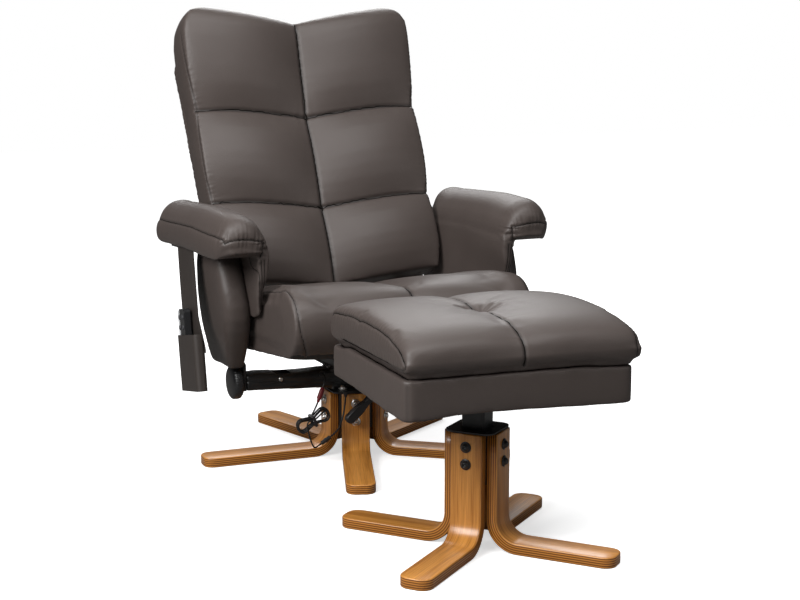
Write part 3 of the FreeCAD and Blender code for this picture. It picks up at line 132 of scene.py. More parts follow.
areaLight("keyBox", (-2.8, -1.2, 2.3), (1.8, 1.8), 132)
areaLight("topBox", (-0.3, -1.05, 3.0), (2.4, 2.4), 74)
areaLight("rearBox", (0.9, 2.6, 2.4), (2.4, 1.6), 66)
areaLight("fillBox", (2.2, -2.8, 1.6), (1.6, 1.6), 8)


def newTree(tree):
    def feed(made, given):
        # a socket is linked, anything else is set as a value
        for key, value in given.items():
            if isinstance(value, bpy.types.NodeSocket):
                tree.links.new(value, made.inputs[key])
            else:
                made.inputs[key].default_value = value

    def node(kind, given=None, **values):
        made = tree.nodes.new(kind)
        for key, value in values.items():
            setattr(made, key, value)
        feed(made, given or {})
        return made
    return node, feed


def buildWorld():
    world = bpy.data.worlds.new("studio")
    scene.world = world
    world.use_nodes = True
    world.node_tree.nodes.clear()
    node = newTree(world.node_tree)[0]
    seen = node("ShaderNodeLightPath").outputs["Is Camera Ray"]
    white = node("ShaderNodeBackground", {"Color": (1, 1, 1, 1), "Strength": 1.0})
    room = node("ShaderNodeBackground", {"Color": (0.96, 0.98, 1, 1), "Strength": 0.09})
    mix = node("ShaderNodeMixShader", {0: seen, 1: room.outputs[0], 2: white.outputs[0]})
    node("ShaderNodeOutputWorld", {"Surface": mix.outputs[0]})


def buildFloor():
    bm = bmesh.new()
    bmesh.ops.create_grid(bm, x_segments=1, y_segments=1, size=9)
    floor = linked("floor", meshOf(bm, "floor"))
    mat = bpy.data.materials.new("paleFloor")
    mat.use_nodes = True
    mat.node_tree.nodes.clear()
    node = newTree(mat.node_tree)[0]
    seen = node("ShaderNodeLightPath").outputs["Is Camera Ray"]
    paint = node("ShaderNodeBsdfDiffuse", {"Color": (0.8, 0.8, 0.8, 1)})
    dull = node("ShaderNodeBsdfDiffuse", {"Color": (0.2, 0.195, 0.19, 1)})
    where = node("ShaderNodeTexCoord").outputs["Object"]
    far = node("ShaderNodeVectorMath", {0: where}, operation="LENGTH")
    fade = node("ShaderNodeMapRange", {"Value": far.outputs["Value"], "From Min": 0.5, "From Max": 1.7,
                                       "To Min": 0.60, "To Max": 1.0})
    glow = node("ShaderNodeEmission", {"Strength": fade.outputs["Result"]})
    both = node("ShaderNodeAddShader", {0: paint.outputs[0], 1: glow.outputs[0]})
    mix = node("ShaderNodeMixShader", {0: seen, 1: dull.outputs[0], 2: both.outputs[0]})
    node("ShaderNodeOutputMaterial", {"Surface": mix.outputs[0]})
    floor.data.materials.append(mat)


buildWorld()
buildFloor()

# materials
print("stage: materials")


def newGroup(name, inputs, outputs):
    group = bpy.data.node_groups.new(name, "ShaderNodeTree")
    for label, kind, value in inputs:
        socket = group.interface.new_socket(label, in_out="INPUT", socket_type=kind)
        socket.default_value = value
    for label, kind in outputs:
        group.interface.new_socket(label, in_out="OUTPUT", socket_type=kind)
    node, feed = newTree(group)
    return group, node, feed, node("NodeGroupInput").outputs, node("NodeGroupOutput")


def math2(node, kind, a, b):
    return node("ShaderNodeMath", {0: a, 1: b}, operation=kind).outputs[0]


def ramped(node, value, *stops):
    made = node("ShaderNodeValToRGB", {0: value})
    for stop, (place, colour) in zip(made.color_ramp.elements, stops):
        stop.position = place
        stop.color = (*colour, 1)
    return made.outputs["Color"]


def drawnNoise(node, place, scale, given, turn=0):
    # noise pulled out along the first axis
    drawn = node("ShaderNodeMapping", {"Vector": place, "Scale": scale, "Rotation": (0, turn, 0)})
    return node("ShaderNodeTexNoise", {"Vector": drawn.outputs[0], "Scale": 1, **given}).outputs["Fac"]


def leatherGroup():
    group, node, feed, given, out = newGroup(
        "leatherSkin",
        [("Pore Size", "NodeSocketFloat", 520.0), ("Relief", "NodeSocketFloat", 0.2)],
        [("Mottle", "NodeSocketFloat"), ("Normal", "NodeSocketVector")])
    where = node("ShaderNodeTexCoord").outputs["Object"]
    pores = node("ShaderNodeTexVoronoi", {"Vector": where, "Scale": given["Pore Size"]}, feature="SMOOTH_F1")
    creases = node("ShaderNodeTexNoise", {"Vector": where, "Scale": 95, "Detail": 3})
    patches = node("ShaderNodeTexNoise", {"Vector": where, "Scale": 11, "Detail": 4})
    soft = math2(node, "MULTIPLY", creases.outputs["Fac"], 0.55)
    height = math2(node, "ADD", pores.outputs["Distance"], soft)
    bump = node("ShaderNodeBump", {"Distance": 0.0006, "Strength": given["Relief"], "Height": height})
    feed(out, {"Mottle": patches.outputs["Fac"], "Normal": bump.outputs["Normal"]})
    return group


def woodGroup():
    group, node, feed, given, out = newGroup(
        "bentVeneer", [("Vector", "NodeSocketVector", (0, 0, 0)), ("Edge", "NodeSocketFloat", 0.0)],
        [("Color", "NodeSocketColor"), ("Grain", "NodeSocketFloat")])
    place, ply = given["Vector"], 0.0042
    fibre = drawnNoise(node, place, (9, 520, 520), {"Detail": 5, "Roughness": 0.62})
    bands = drawnNoise(node, place, (3, 70, 70), {"Detail": 2})
    grain = math2(node, "ADD", math2(node, "MULTIPLY", fibre, 0.62), math2(node, "MULTIPLY", bands, 0.38))
    face = ramped(node, grain, (0.34, (0.29, 0.092, 0.010)), (0.64, (0.74, 0.34, 0.078)))
    depth = node("ShaderNodeSeparateXYZ", {0: place}).outputs["Z"]
    waves = math2(node, "SINE", math2(node, "MULTIPLY", depth, 2 * math.pi / ply), 0)
    plies = ramped(node, math2(node, "MULTIPLY_ADD", waves, 0.5),
                   (0.2, (0.56, 0.225, 0.040)), (0.75, (0.15, 0.046, 0.007)))
    mix = node("ShaderNodeMix", {"Factor": given["Edge"], "A": face, "B": plies}, data_type="RGBA")
    feed(out, {"Color": mix.outputs["Result"], "Grain": grain})
    return group


def speckGroup():
    group, node, feed, given, out = newGroup(
        "fineTexture", [("Scale", "NodeSocketFloat", 900.0), ("Relief", "NodeSocketFloat", 0.1)],
        [("Mask", "NodeSocketFloat"), ("Normal", "NodeSocketVector")])
    where = node("ShaderNodeTexCoord").outputs["Object"]
    noise = node("ShaderNodeTexNoise", {"Vector": where, "Scale": given["Scale"], "Detail": 3}).outputs["Fac"]
    bump = node("ShaderNodeBump", {"Distance": 0.0008, "Strength": given["Relief"], "Height": noise})
    feed(out, {"Mask": noise, "Normal": bump.outputs["Normal"]})
    return group


skin = leatherGroup()
veneer = woodGroup()
speck = speckGroup()


def newMaterial(name):
    mat = bpy.data.materials.new(name)
    mat.use_nodes = True
    node, feed = newTree(mat.node_tree)
    return mat, node, feed, mat.node_tree.nodes["Principled BSDF"]


def shaded(colour, share):
    return tuple(min(1, c * share) for c in colour) + (1,)


def leather(name, dark, light, roughness):
    mat, node, feed, shader = newMaterial(name)
    hide = node("ShaderNodeGroup", node_tree=skin)
    tone = node("ShaderNodeMix", {"Factor": hide.outputs["Mottle"], "A": (*dark, 1), "B": (*light, 1)},
                data_type="RGBA")
    # painted shade: the base colour darkened along the seams, towards 0.12 of the dark tone, by the seam mask
    seam = node("ShaderNodeAttribute", attribute_name="seamShadeMask")
    shade = node("ShaderNodeMix", {"Factor": seam.outputs["Fac"], "A": tone.outputs["Result"],
                                   "B": shaded(dark, 0.12)}, data_type="RGBA")
    feed(shader, {"Base Color": shade.outputs["Result"], "Normal": hide.outputs["Normal"],
                  "Roughness": roughness, "Specular IOR Level": 0.42})
    return mat


def coated(name, colour, roughness, scale, relief, metallic=0.0):
    mat, node, feed, shader = newMaterial(name)
    fine = node("ShaderNodeGroup", {"Scale": scale, "Relief": relief}, node_tree=speck)
    tone = node("ShaderNodeMix", {"Factor": fine.outputs["Mask"], "A": shaded(colour, 0.86),
                                  "B": shaded(colour, 1.14)}, data_type="RGBA")
    feed(shader, {"Base Color": tone.outputs["Result"], "Normal": fine.outputs["Normal"],
                  "Roughness": roughness, "Metallic": metallic})
    return mat


def bentwood():
    mat, node, feed, shader = newMaterial("bentwood")
    flat = node("ShaderNodeAttribute", attribute_name="flatPlace").outputs["Vector"]
    edge = node("ShaderNodeAttribute", attribute_name="edgeMask").outputs["Fac"]
    wood = node("ShaderNodeGroup", node_tree=veneer)
    feed(wood, {"Vector": flat, "Edge": edge})
    bump = node("ShaderNodeBump", {"Strength": 0.12, "Distance": 0.0004, "Height": wood.outputs["Grain"]})
    feed(shader, {"Base Color": wood.outputs["Color"], "Normal": bump.outputs["Normal"], "Roughness": 0.3,
                  "Coat Weight": 0.2, "Coat Roughness": 0.15})
    return mat


# painted shade: a darker copy of the hide for the pocket, which hangs in shade
pocketShadedHide = leather("pocketShadedHide", (0.028, 0.022, 0.019), (0.038, 0.030, 0.026), 0.55)
paints = {
    "bentwood": bentwood(),
    "black_steel": coated("blackSteel", (0.016, 0.016, 0.017), 0.42, 700, 0.10),
    "zinc_screws": coated("zincScrews", (0.62, 0.61, 0.59), 0.30, 500, 0.05, 1.0),
    "black_screws": coated("blackScrews", (0.02, 0.02, 0.02), 0.34, 500, 0.05),
    "plywood": coated("plywood", (0.45, 0.31, 0.18), 0.65, 160, 0.12),
    "upholstery": leather("hideBrown", (0.056, 0.043, 0.038), (0.072, 0.057, 0.051), 0.50),
    "black_plastic": coated("blackPlastic", (0.014, 0.014, 0.015), 0.38, 1100, 0.06),
    "silver_plastic": coated("silverPlastic", (0.62, 0.63, 0.64), 0.36, 1100, 0.04),
    "key_rubber": coated("keyRubber", (0.05, 0.05, 0.055), 0.55, 1100, 0.08),
    "red_plastic": coated("redPlastic", (0.16, 0.012, 0.016), 0.34, 900, 0.05),
    "cord_jacket": coated("cordJacket", (0.012, 0.012, 0.012), 0.45, 1200, 0.06),
}
thread = coated("seamThread", (0.040, 0.034, 0.031), 0.6, 2000, 0.2)
# painted shade: near-black, dull and barely reflective, for the strands laid in the seam folds
creaseShade = coated("seamCreaseShade", (0.005, 0.004, 0.003), 0.9, 2000, 0.2)
creaseShade.node_tree.nodes["Principled BSDF"].inputs["Specular IOR Level"].default_value = 0.1
underCloth = coated("underCloth", (0.012, 0.012, 0.012), 0.8, 1500, 0.3)


def foldedWrap():
    # thin black sleeve with long folds along the beam
    mat, node, feed, shader = newMaterial("wrapBlack")
    where = node("ShaderNodeTexCoord").outputs["Object"]
    folds = drawnNoise(node, where, (7, 55, 70), {"Detail": 3, "Distortion": 0.6}, math.radians(-9))
    bump = node("ShaderNodeBump", {"Strength": 0.9, "Distance": 0.008, "Height": folds})
    feed(shader, {"Base Color": (0.010, 0.010, 0.010, 1), "Normal": bump.outputs["Normal"], "Roughness": 0.36})
    return mat


wrapBlack = foldedWrap()


# making pieces
def addPiece(bm, name, body, slot, replaces=(), mat=None, smooth=True):
    piece = linked(name, meshOf(bm, name))
    settle(piece, body, slot, replaces, mat, smooth)
    return piece


def settle(piece, body, slot, replaces=(), mat=None, smooth=True):
    # the slot's own material unless another is given
    piece.data.materials.clear()
    piece.data.materials.append(mat or paints[slot])
    if smooth and piece.type == "MESH":
        piece.data.polygons.foreach_set("use_smooth", [True] * len(piece.data.polygons))
    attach(piece, body)
    for node in replaces:
        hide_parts(node)


def applied(obj):
    mesh = meshFrom(obj)
    obj.modifiers.clear()
    old = obj.data
    obj.data = mesh
    bpy.data.meshes.remove(old)


# cords
print("stage: cords")
cordPlan = {
    "diameter": 3.6,
    "lead": [(-96.614, -50, 193.25), (-96.614, -73, 193.25), (-106, -73, 169)],
    "connectorFoot": (-118, -73, 138), "connectorTop": (-106, -73, 169),
    "hankCentre": (-134, -77.6, 101), "pitch": 4.6, "angle": 22, "reach": 36, "lobe": 11.5, "waist": 3.4,
    "step": 4.6, "layers": 4, "couplerCentre": (-106, -87, 54), "couplerLong": 24,
    "tail": [(-66, -80, 86), (-54, -72, 118.05), (-52, -72, 142.05)],
}
couplerWay = Vector((0.86, 0, 0.51)).normalized()


def couplerEnd(plan, side):
    return Vector(plan["couplerCentre"]) + couplerWay * (side * plan["couplerLong"] / 2)


def hankPoint(plan, turn, spread, depth):
    lobe = plan["lobe"] + spread * plan["step"]
    waist = plan["waist"] + spread * (plan["step"] + 0.3)
    reach = plan["reach"] + spread * plan["step"]
    a = -math.sin(turn) * reach
    b = math.cos(turn) * (waist + 1.55 * lobe * math.sin(turn) ** 2 * (1.6 - 0.6 * math.sin(turn) ** 2))
    tilt = math.radians(plan["angle"])
    x, y, z = plan["hankCentre"]
    return (x + a * math.cos(tilt) - b * math.sin(tilt), y - depth, z + a * math.sin(tilt) + b * math.cos(tilt))


def hankRoute(plan):
    top = Vector(plan["connectorFoot"])
    drop = (top - Vector(plan["connectorTop"])).normalized()
    route = [top, top + drop * 6]
    perTurn = 16
    last = plan["layers"] - 1
    for layer in range(plan["layers"]):
        for k in range(perTurn):
            share = k / perTurn
            spread = share if layer % 2 == 0 else 1 - share
            depth = layer
            if layer == 0:
                depth -= max(0, 1 - 2 * share)
            if layer == last:
                depth += max(0, 2 * share - 1)
            route.append(hankPoint(plan, 2 * math.pi * share, spread, depth * plan["pitch"]))
    route.append(hankPoint(plan, 0, 0, plan["layers"] * plan["pitch"]))
    foot = couplerEnd(plan, -1)
    route.append(hankPoint(plan, math.radians(35), 0, plan["layers"] * plan["pitch"]))
    route += [foot - couplerWay * 22, foot - couplerWay * 8, foot]
    return route


def cordCurve(name, route, diameter):
    curve = bpy.data.curves.new(name, "CURVE")
    curve.dimensions = "3D"
    line = curve.splines.new("NURBS")
    line.points.add(len(route) - 1)
    for spot, place in zip(line.points, route):
        spot.co = (*fromChair(*place), 1)
        spot.radius = diameter / 2 * mm
    line.order_u = 3
    line.use_endpoint_u = True
    line.resolution_u = 6
    curve.bevel_depth = 1
    curve.bevel_resolution = 4
    curve.use_fill_caps = True
    return linked(name, curve)


def curveLength(piece):
    bare = piece.data.copy()
    bare.bevel_depth = 0
    probe = linked("probe", bare)
    mesh = meshFrom(probe)
    ends = [[mesh.vertices[i].co for i in edge.vertices] for edge in mesh.edges]
    total = sum((a - b).length for a, b in ends)
    bpy.data.objects.remove(probe)
    bpy.data.curves.remove(bare)
    return total


def buildCords():
    plan = cordPlan
    coupler = couplerEnd(plan, 1)
    routes = {
        "leadCord": (plan["lead"], "cord_lead", "connector", ["red_connector"]),
        "hankCord": (hankRoute(plan), "cord_hank", "connector", ["inline_coupler", "hank_tie"]),
        "tailCord": ([coupler, coupler + couplerWay * 18] + plan["tail"], "cord_tail", "object", []),
    }
    for name, (route, node, end, others) in routes.items():
        piece = cordCurve(name, route, plan["diameter"])
        settle(piece, "swivel_frame", "cord_jacket", [node])
        length = curveLength(piece)
        print("cord", name, round(length * 1000, 1), "mm")
        fromChair(*route[0])
        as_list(others)


buildCords()

# soft goods
print("stage: soft goods")


def cadShape(node):
    bm = bmesh.new()
    bm.from_mesh(frame["nodes"][node].data)
    bmesh.ops.remove_doubles(bm, verts=bm.verts[:], dist=2e-5)
    outward(bm)
    return bm


def hullShape(*nodes):
    bm = bmesh.new()
    for node in nodes:
        bm.from_mesh(frame["nodes"][node].data)
    hull = bmesh.ops.convex_hull(bm, input=bm.verts[:])
    keep = {g for g in hull["geom"] if isinstance(g, bmesh.types.BMFace)}
    bmesh.ops.delete(bm, geom=[f for f in bm.faces if f not in keep], context="FACES")
    return bm


def voxelSkin(bm, name, size, relax):
    obj = linked(name, meshOf(bm, name))
    remesh = obj.modifiers.new("skin", "REMESH")
    remesh.mode = "VOXEL"
    remesh.voxel_size = size * mm
    ease = obj.modifiers.new("ease", "SMOOTH")
    ease.factor = 0.5
    ease.iterations = relax
    applied(obj)
    return obj


def smooth(low, high, value):
    t = np.clip((value - low) / (high - low), 0, 1)
    return t * t * (3 - 2 * t)


def readVerts(obj, what):
    flat = np.empty(len(obj.data.vertices) * 3)
    obj.data.vertices.foreach_get(what, flat)
    return flat.reshape(-1, 3)


def chairLocal(co):
    return (co - np.array(swivel)).T / mm


def writeVerts(obj, co):
    obj.data.vertices.foreach_set("co", co.ravel())
    obj.data.update()


def puff(obj, held, pressure, cap, bend=8, slack=0.0):
    # pressure from inside, held at the seams and at the boards behind
    before = readVerts(obj, "co")
    group = obj.vertex_groups.new(name="held")
    group.add([int(i) for i in np.nonzero(held)[0]], 1.0, "REPLACE")
    cloth = obj.modifiers.new("stuffing", "CLOTH")
    rules = {"quality": 4, "mass": 0.4, "tension_stiffness": 18, "compression_stiffness": 18,
             "shear_stiffness": 8, "bending_stiffness": bend, "air_damping": 3, "use_pressure": True,
             "uniform_pressure_force": pressure, "vertex_group_mass": "held", "shrink_min": -slack}
    for key, value in rules.items():
        setattr(cloth.settings, key, value)
    cloth.settings.effector_weights.gravity = 0
    cloth.collision_settings.use_collision = False
    cloth.collision_settings.use_self_collision = False
    frames = 20
    cloth.point_cache.frame_start = 1
    cloth.point_cache.frame_end = frames
    for step in range(1, frames + 1):
        scene.frame_set(step)
    applied(obj)
    obj.vertex_groups.clear()
    scene.frame_set(1)
    move = readVerts(obj, "co") - before
    size = np.linalg.norm(move, axis=1)
    share = np.minimum(1, cap * mm / np.maximum(size, 1e-9))
    writeVerts(obj, before + move * share[:, None])
    print("puff", obj.name, "largest move", round(float((size * share).max()) * 1000, 1), "mm")


def refine(obj):
    finer = obj.modifiers.new("finer", "SUBSURF")
    finer.levels = finer.render_levels = 1
    applied(obj)


def surfaceTree(obj):
    mesh = obj.data
    return BVHTree.FromPolygons([v.co for v in mesh.vertices], [p.vertices for p in mesh.polygons])


def castLine(tree, spots):
    # spots: a place outside the skin and the way to look
    line = []
    for place, way in spots:
        hit = tree.ray_cast(Vector(place), Vector(way).normalized())[0]
        if hit is not None:
            line.append(np.array(hit))
    return line


def seamField(co, line):
    gap = np.full(len(co), 1e9)
    along = np.zeros(len(co))
    run = 0.0
    for a, b in zip(line[:-1], line[1:]):
        step = b - a
        length = max(float(np.linalg.norm(step)), 1e-9)
        share = np.clip(((co - a) @ step) / length ** 2, 0, 1)
        reach = np.linalg.norm(co - (a + share[:, None] * step), axis=1)
        near = reach < gap
        gap[near] = reach[near]
        along[near] = run + share[near] * length
        run += length
    return gap, along


# a seam: groove depth and width, gathers, and the strength of its painted shade
def sewn(line, depth, width, **more):
    return {"line": line, "depth": depth, "width": width, "gather": 0, "every": 14, "fade": 16, "ink": 0.9, **more}


def sewSeams(obj, seams):
    co = readVerts(obj, "co")
    no = readVerts(obj, "normal")
    move = np.zeros(len(co))
    # painted shade: a mask that darkens the leather along each seam, kept as a point attribute
    ink = np.zeros(len(co))
    for seam in seams:
        gap, along = seamField(co, seam["line"])
        width = seam["width"] * mm
        move -= seam["depth"] * mm * np.exp(-(gap / width) ** 2)
        ink = np.maximum(ink, seam["ink"] * np.exp(-(gap / (0.7 * width)) ** 2))
        if seam["gather"]:
            turn = 2 * math.pi * along / (seam["every"] * mm)
            ripple = np.sin(turn + 1.7 * np.sin(turn * 0.27) + 0.9 * np.sin(turn * 0.61))
            fade = np.exp(-gap / (seam["fade"] * mm)) * (1 - np.exp(-(gap / (0.7 * width)) ** 2))
            move += seam["gather"] * mm * ripple * fade
    writeVerts(obj, co + no * move[:, None])
    mark = obj.data.attributes.new("seamShadeMask", "FLOAT", "POINT")
    mark.data.foreach_set("value", ink.astype(np.float32))


def stitchRow(name, obj, lines, side, body, every=5):
    # threads lying on the finished skin beside a seam
    tree = surfaceTree(obj)
    bm = bmesh.new()
    for line in lines:
        steps = np.array(line)
        lengths = np.concatenate([[0], np.cumsum(np.linalg.norm(np.diff(steps, axis=0), axis=1))])
        for k in range(int(lengths[-1] / (every * mm))):
            at = (k + 0.5) * every * mm
            here = Vector([np.interp(at, lengths, steps[:, c]) for c in range(3)])
            ahead = Vector([np.interp(min(at + 0.002, lengths[-1]), lengths, steps[:, c]) for c in range(3)])
            way = ahead - here
            if way.length < 1e-6:
                continue
            way.normalize()
            spot, face = tree.find_nearest(here)[:2]
            across = face.cross(way).normalized()
            spot, face = tree.find_nearest(spot + across * side * mm)[:2]
            turn = Matrix((way, face.cross(way), face)).transposed().to_4x4()
            size = Matrix.Diagonal((0.36 * every * mm, 0.55 * mm, 0.4 * mm, 1))
            bmesh.ops.create_icosphere(bm, subdivisions=1, radius=1, matrix=Matrix.Translation(spot) @ turn @ size)
    addPiece(bm, name, body, "upholstery", mat=thread)


def creaseShadeRow(name, obj, lines, wide, body):
    # painted shade: a thin near-black strand laid along the bottom of each seam fold
    tree = surfaceTree(obj)
    curve = bpy.data.curves.new(name, "CURVE")
    curve.dimensions = "3D"
    curve.bevel_depth = wide / 2 * mm
    curve.bevel_resolution = 1
    for line in lines:
        spots = [tree.find_nearest(Vector(place)) for place in line]
        strand = curve.splines.new("POLY")
        strand.points.add(len(spots) - 1)
        for point, spot in zip(strand.points, spots):
            point.co = (*(spot[0] - spot[1] * 0.25 * wide * mm), 1)
    route = linked(name + "Route", curve)
    piece = linked(name, meshFrom(route))
    bpy.data.objects.remove(route)
    settle(piece, body, "upholstery", mat=creaseShade)


def blackUnder(obj, low):
    # bottom cloth on the faces that look down
    obj.data.materials.append(underCloth)
    for face in obj.data.polygons:
        if face.normal.z < -0.75 and face.center.z < low * mm:
            face.material_index = 1


# backrest
backPlan = {"foot": (0, 99, 365), "lean": 24.7, "seams": (189.6, 411.7), "dip": 24 / 266, "voxel": 6}
backFoot = fromChair(*backPlan["foot"])
leanTurn = math.radians(backPlan["lean"])
backUp = Vector((0, math.sin(leanTurn), math.cos(leanTurn)))
backOut = Vector((0, -math.cos(leanTurn), math.sin(leanTurn)))


def onBack(x, s, n):
    return backFoot + Vector((x * mm, 0, 0)) + backUp * (s * mm) + backOut * (n * mm)


def backLocal(co):
    rel = co - np.array(backFoot)
    return rel[:, 0] / mm, rel @ np.array(backUp) / mm, rel @ np.array(backOut) / mm


def crossSeam(s):
    spots = []
    for k in range(-37, 38):
        x = k * 7.4
        droop = 7 * max(0, (abs(x) - 150) / 120) ** 2
        spots.append((onBack(x, s + backPlan["dip"] * abs(x) - droop, 300), -backOut))
    return spots


def edgeSeam(side, s0, s1):
    way = Vector((-side * 0.75, 0, 0)) - backOut * 0.66
    count = int((s1 - s0) / 8)
    return [(onBack(side * 268, s0 + (s1 - s0) * k / count, 4) - way * 0.25, way) for k in range(count + 1)]


def buildBack():
    obj = voxelSkin(cadShape("back_cushion"), "backCushion", backPlan["voxel"], 4)
    x, s, n = backLocal(readVerts(obj, "co"))
    held = (n < -35) | (s < 8)
    for base in backPlan["seams"]:
        held |= np.abs(s - base - backPlan["dip"] * np.abs(x)) < 5
    held |= np.abs(x) < 5
    puff(obj, held, pressure=2.5, cap=6)
    refine(obj)
    tree = surfaceTree(obj)
    middle = castLine(tree, [(onBack(0, 4 + k * 8, 300), -backOut) for k in range(80)])
    seams = [sewn(middle, 4, 4.4, gather=0.25, every=34, fade=20)]
    for base in backPlan["seams"]:
        seams.append(sewn(castLine(tree, crossSeam(base)), 4, 4.4, gather=0.25, every=38, fade=22))
    edges = [castLine(tree, edgeSeam(side, 6, 612)) for side in (-1, 1)]
    seams += [sewn(line, 1.8, 2.6, gather=0.6, every=12, fade=9, ink=0.6) for line in edges]
    sewSeams(obj, seams)
    settle(obj, "backrest", "upholstery", ["back_cushion"])
    creaseShadeRow("backCreaseShade", obj, [seam["line"] for seam in seams[:3]], 3.0, "backrest")
    stitchRow("backStitches", obj, edges, 3.4, "backrest")
    cover = voxelSkin(hullShape("back_cover", "back_board"), "backCover", 7, 4)
    puff(cover, backLocal(readVerts(cover, "co"))[2] > -95, pressure=3, cap=8, bend=4, slack=0.01)
    refine(cover)
    sewSeams(cover, [sewn(rimLine(cover), 2, 3, gather=0.7, every=16, ink=0.5)])
    settle(cover, "backrest", "upholstery", ["back_cover", "back_board"])


def rimLine(cover):
    tree = surfaceTree(cover)
    middle = onBack(0, 300, -100)
    spots = []
    for k in range(121):
        turn = 2 * math.pi * k / 120
        way = Vector((math.cos(turn), 0, 0)) + backUp * math.sin(turn)
        spots.append((middle + way * 0.9, -way))
    return castLine(tree, spots)


# seat
seatPlan = {"voxel": 6, "edgeRise": 9, "cornerRise": 7, "rearSwell": 44, "underside": 330}


def frontWalk(top, above, crest, steps, ahead, drop):
    # over the top from the back, round the crest and down the front
    walk = [((y, above), (0, -1)) for y in top]
    for k in range(1, steps + 1):
        turn = math.radians(90 * k / steps)
        way = (math.sin(turn), -math.cos(turn))
        walk.append(((crest[0] - 300 * way[0], crest[1] - 300 * way[1]), way))
    return walk + [((ahead, z), (1, 0)) for z in drop]


def seatWalk(side, low):
    # along the middle for side 0, else along that edge, drawn in towards the front
    walk = frontWalk(range(60, -270, -11), 600, (-262, 350), 12, -600, [344 - k * 6 for k in range(low)])
    spots = []
    for k, (place, way) in enumerate(walk):
        t = k / (len(walk) - 1)
        x = side * (262 - 6 * max(0, t - 0.6) - 150 * max(0, t - 0.78) ** 1.3)
        spots.append((fromChair(x, *place), (0, *way)))
    return spots


def buildSeat():
    p = seatPlan
    obj = voxelSkin(cadShape("seat_cushion"), "seatCushion", p["voxel"], 4)
    co = readVerts(obj, "co")
    x, y, z = chairLocal(co)
    wide = np.abs(x)
    co[:, 2] += p["edgeRise"] * smooth(190, 262, wide) * smooth(330, 372, z) * smooth(60, -60, y) * mm
    co[:, 2] += p["cornerRise"] * smooth(200, 255, wide) * smooth(325, 350, z) * smooth(20, 70, y) * mm
    co[:, 1] += p["rearSwell"] * smooth(70, 90, y) * smooth(296, 316, z) * smooth(358, 338, z) * mm
    writeVerts(obj, co)
    held = (z < 300) | (np.abs(x) < 5) | (y > 84)
    puff(obj, held, pressure=2.5, cap=5)
    refine(obj)
    tree = surfaceTree(obj)
    middle = castLine(tree, seatWalk(0, 8))
    seams = [sewn(middle, 3.5, 4, gather=0.3, every=30, fade=18)]
    edges = [castLine(tree, seatWalk(side, 9)) for side in (-1, 1)]
    seams += [sewn(line, 1.8, 2.6, gather=0.4, every=13, fade=8, ink=0.65) for line in edges]
    sewSeams(obj, seams)
    settle(obj, "seat", "upholstery", ["seat_cushion"])
    blackUnder(obj, p["underside"])
    creaseShadeRow("seatCreaseShade", obj, [middle], 3.0, "seat")
    creaseShadeRow("seatEdgeCreaseShade", obj, edges, 1.4, "seat")
    stitchRow("seatStitches", obj, edges, 3.2, "seat")


# arms
armPlan = {"inside": 284, "outside": 389, "front": -222, "back": 219, "bottom": 480, "tilt": 2.6, "lining": 280,
           "voxel": 4.5, "sag": 28, "rearReach": 30, "drawn": {1: 0.17, -1: 0.27}, "frontDrop": {1: 9, -1: 12},
           "innerFull": 11, "tailSpread": 0.16, "tailRise": 11, "tailReach": 5, "underFill": 14, "noseLift": 15,
           "noseTuck": 9}


def armBlank(side, word):
    # pad and inner lining together, the lining thickened to a wedge
    bm = cadShape("arm_pad_" + word)
    lining = cadShape("arm_lining_" + word)
    for v in lining.verts:
        x, y, z = (v.co - swivel) / mm
        up = min(1, max(0, (z - 350) / 130))
        outer = side * x > armPlan["lining"] + 3
        sag = armPlan["sag"] * (smooth(62, 130, y) if side > 0 else smooth(92, 200, y)) * smooth(430, 372, z)
        if side > 0:
            y += armPlan["rearReach"] * smooth(120, 196, y) * smooth(440, 380, z)
        x = side * (armPlan["lining"] + (8 + 16 * up if outer else 0))
        v.co = fromChair(x, y, z - sag + (14 if z > 462 else 0))
    mesh = meshOf(lining, "liningBlank")
    bm.from_mesh(mesh)
    bpy.data.meshes.remove(mesh)
    return bm


def armWidth(y, side):
    # share of the full width, drawn in round the front, less so on the left arm
    t = np.clip((-50 - y) / 172, 0, 1)
    return np.sqrt(1 - armPlan["drawn"][side] * t ** 2.4)


def shapeArm(obj, side):
    # fuller inside, rounder and lower at the front than the plain pad
    p = armPlan
    co = readVerts(obj, "co")
    x, y, z = chairLocal(co)
    x = side * x
    floor = p["bottom"] - math.tan(math.radians(p["tilt"])) * y
    pad = smooth(-6, 8, z - floor)
    front = smooth(60, -190, y)
    inner = smooth(p["inside"] + 40, p["inside"] - 4, x)
    draw = 1 + smooth(-18, -8, z - floor) * (armWidth(y, side) - 1)
    x = np.where(x > p["inside"], p["inside"] + (x - p["inside"]) * draw, x)
    x -= p["innerFull"] * front * inner * smooth(400, 470, z)
    rise = np.clip((z - floor) / 90, 0, 1)
    nose = smooth(p["front"] + 50, p["front"], y)
    tail = smooth(120, p["back"], y) * pad
    middle = (p["inside"] + p["outside"]) / 2
    x = np.where(x > middle, middle + (x - middle) * (1 + p["tailSpread"] * tail), x)
    z += p["tailRise"] * tail * rise
    y = y + p["tailReach"] * tail
    z -= p["underFill"] * front * (1 - rise) * pad * (1 - 0.8 * nose)
    z -= p["frontDrop"][side] * smooth(-40, p["front"] + 10, y) * rise
    z += p["noseLift"] * nose * (1 - rise) * pad
    y = y + p["noseTuck"] * nose * (1 - rise) ** 2 * pad
    writeVerts(obj, np.array(swivel) + np.stack([side * x, y, z], axis=1) * mm)


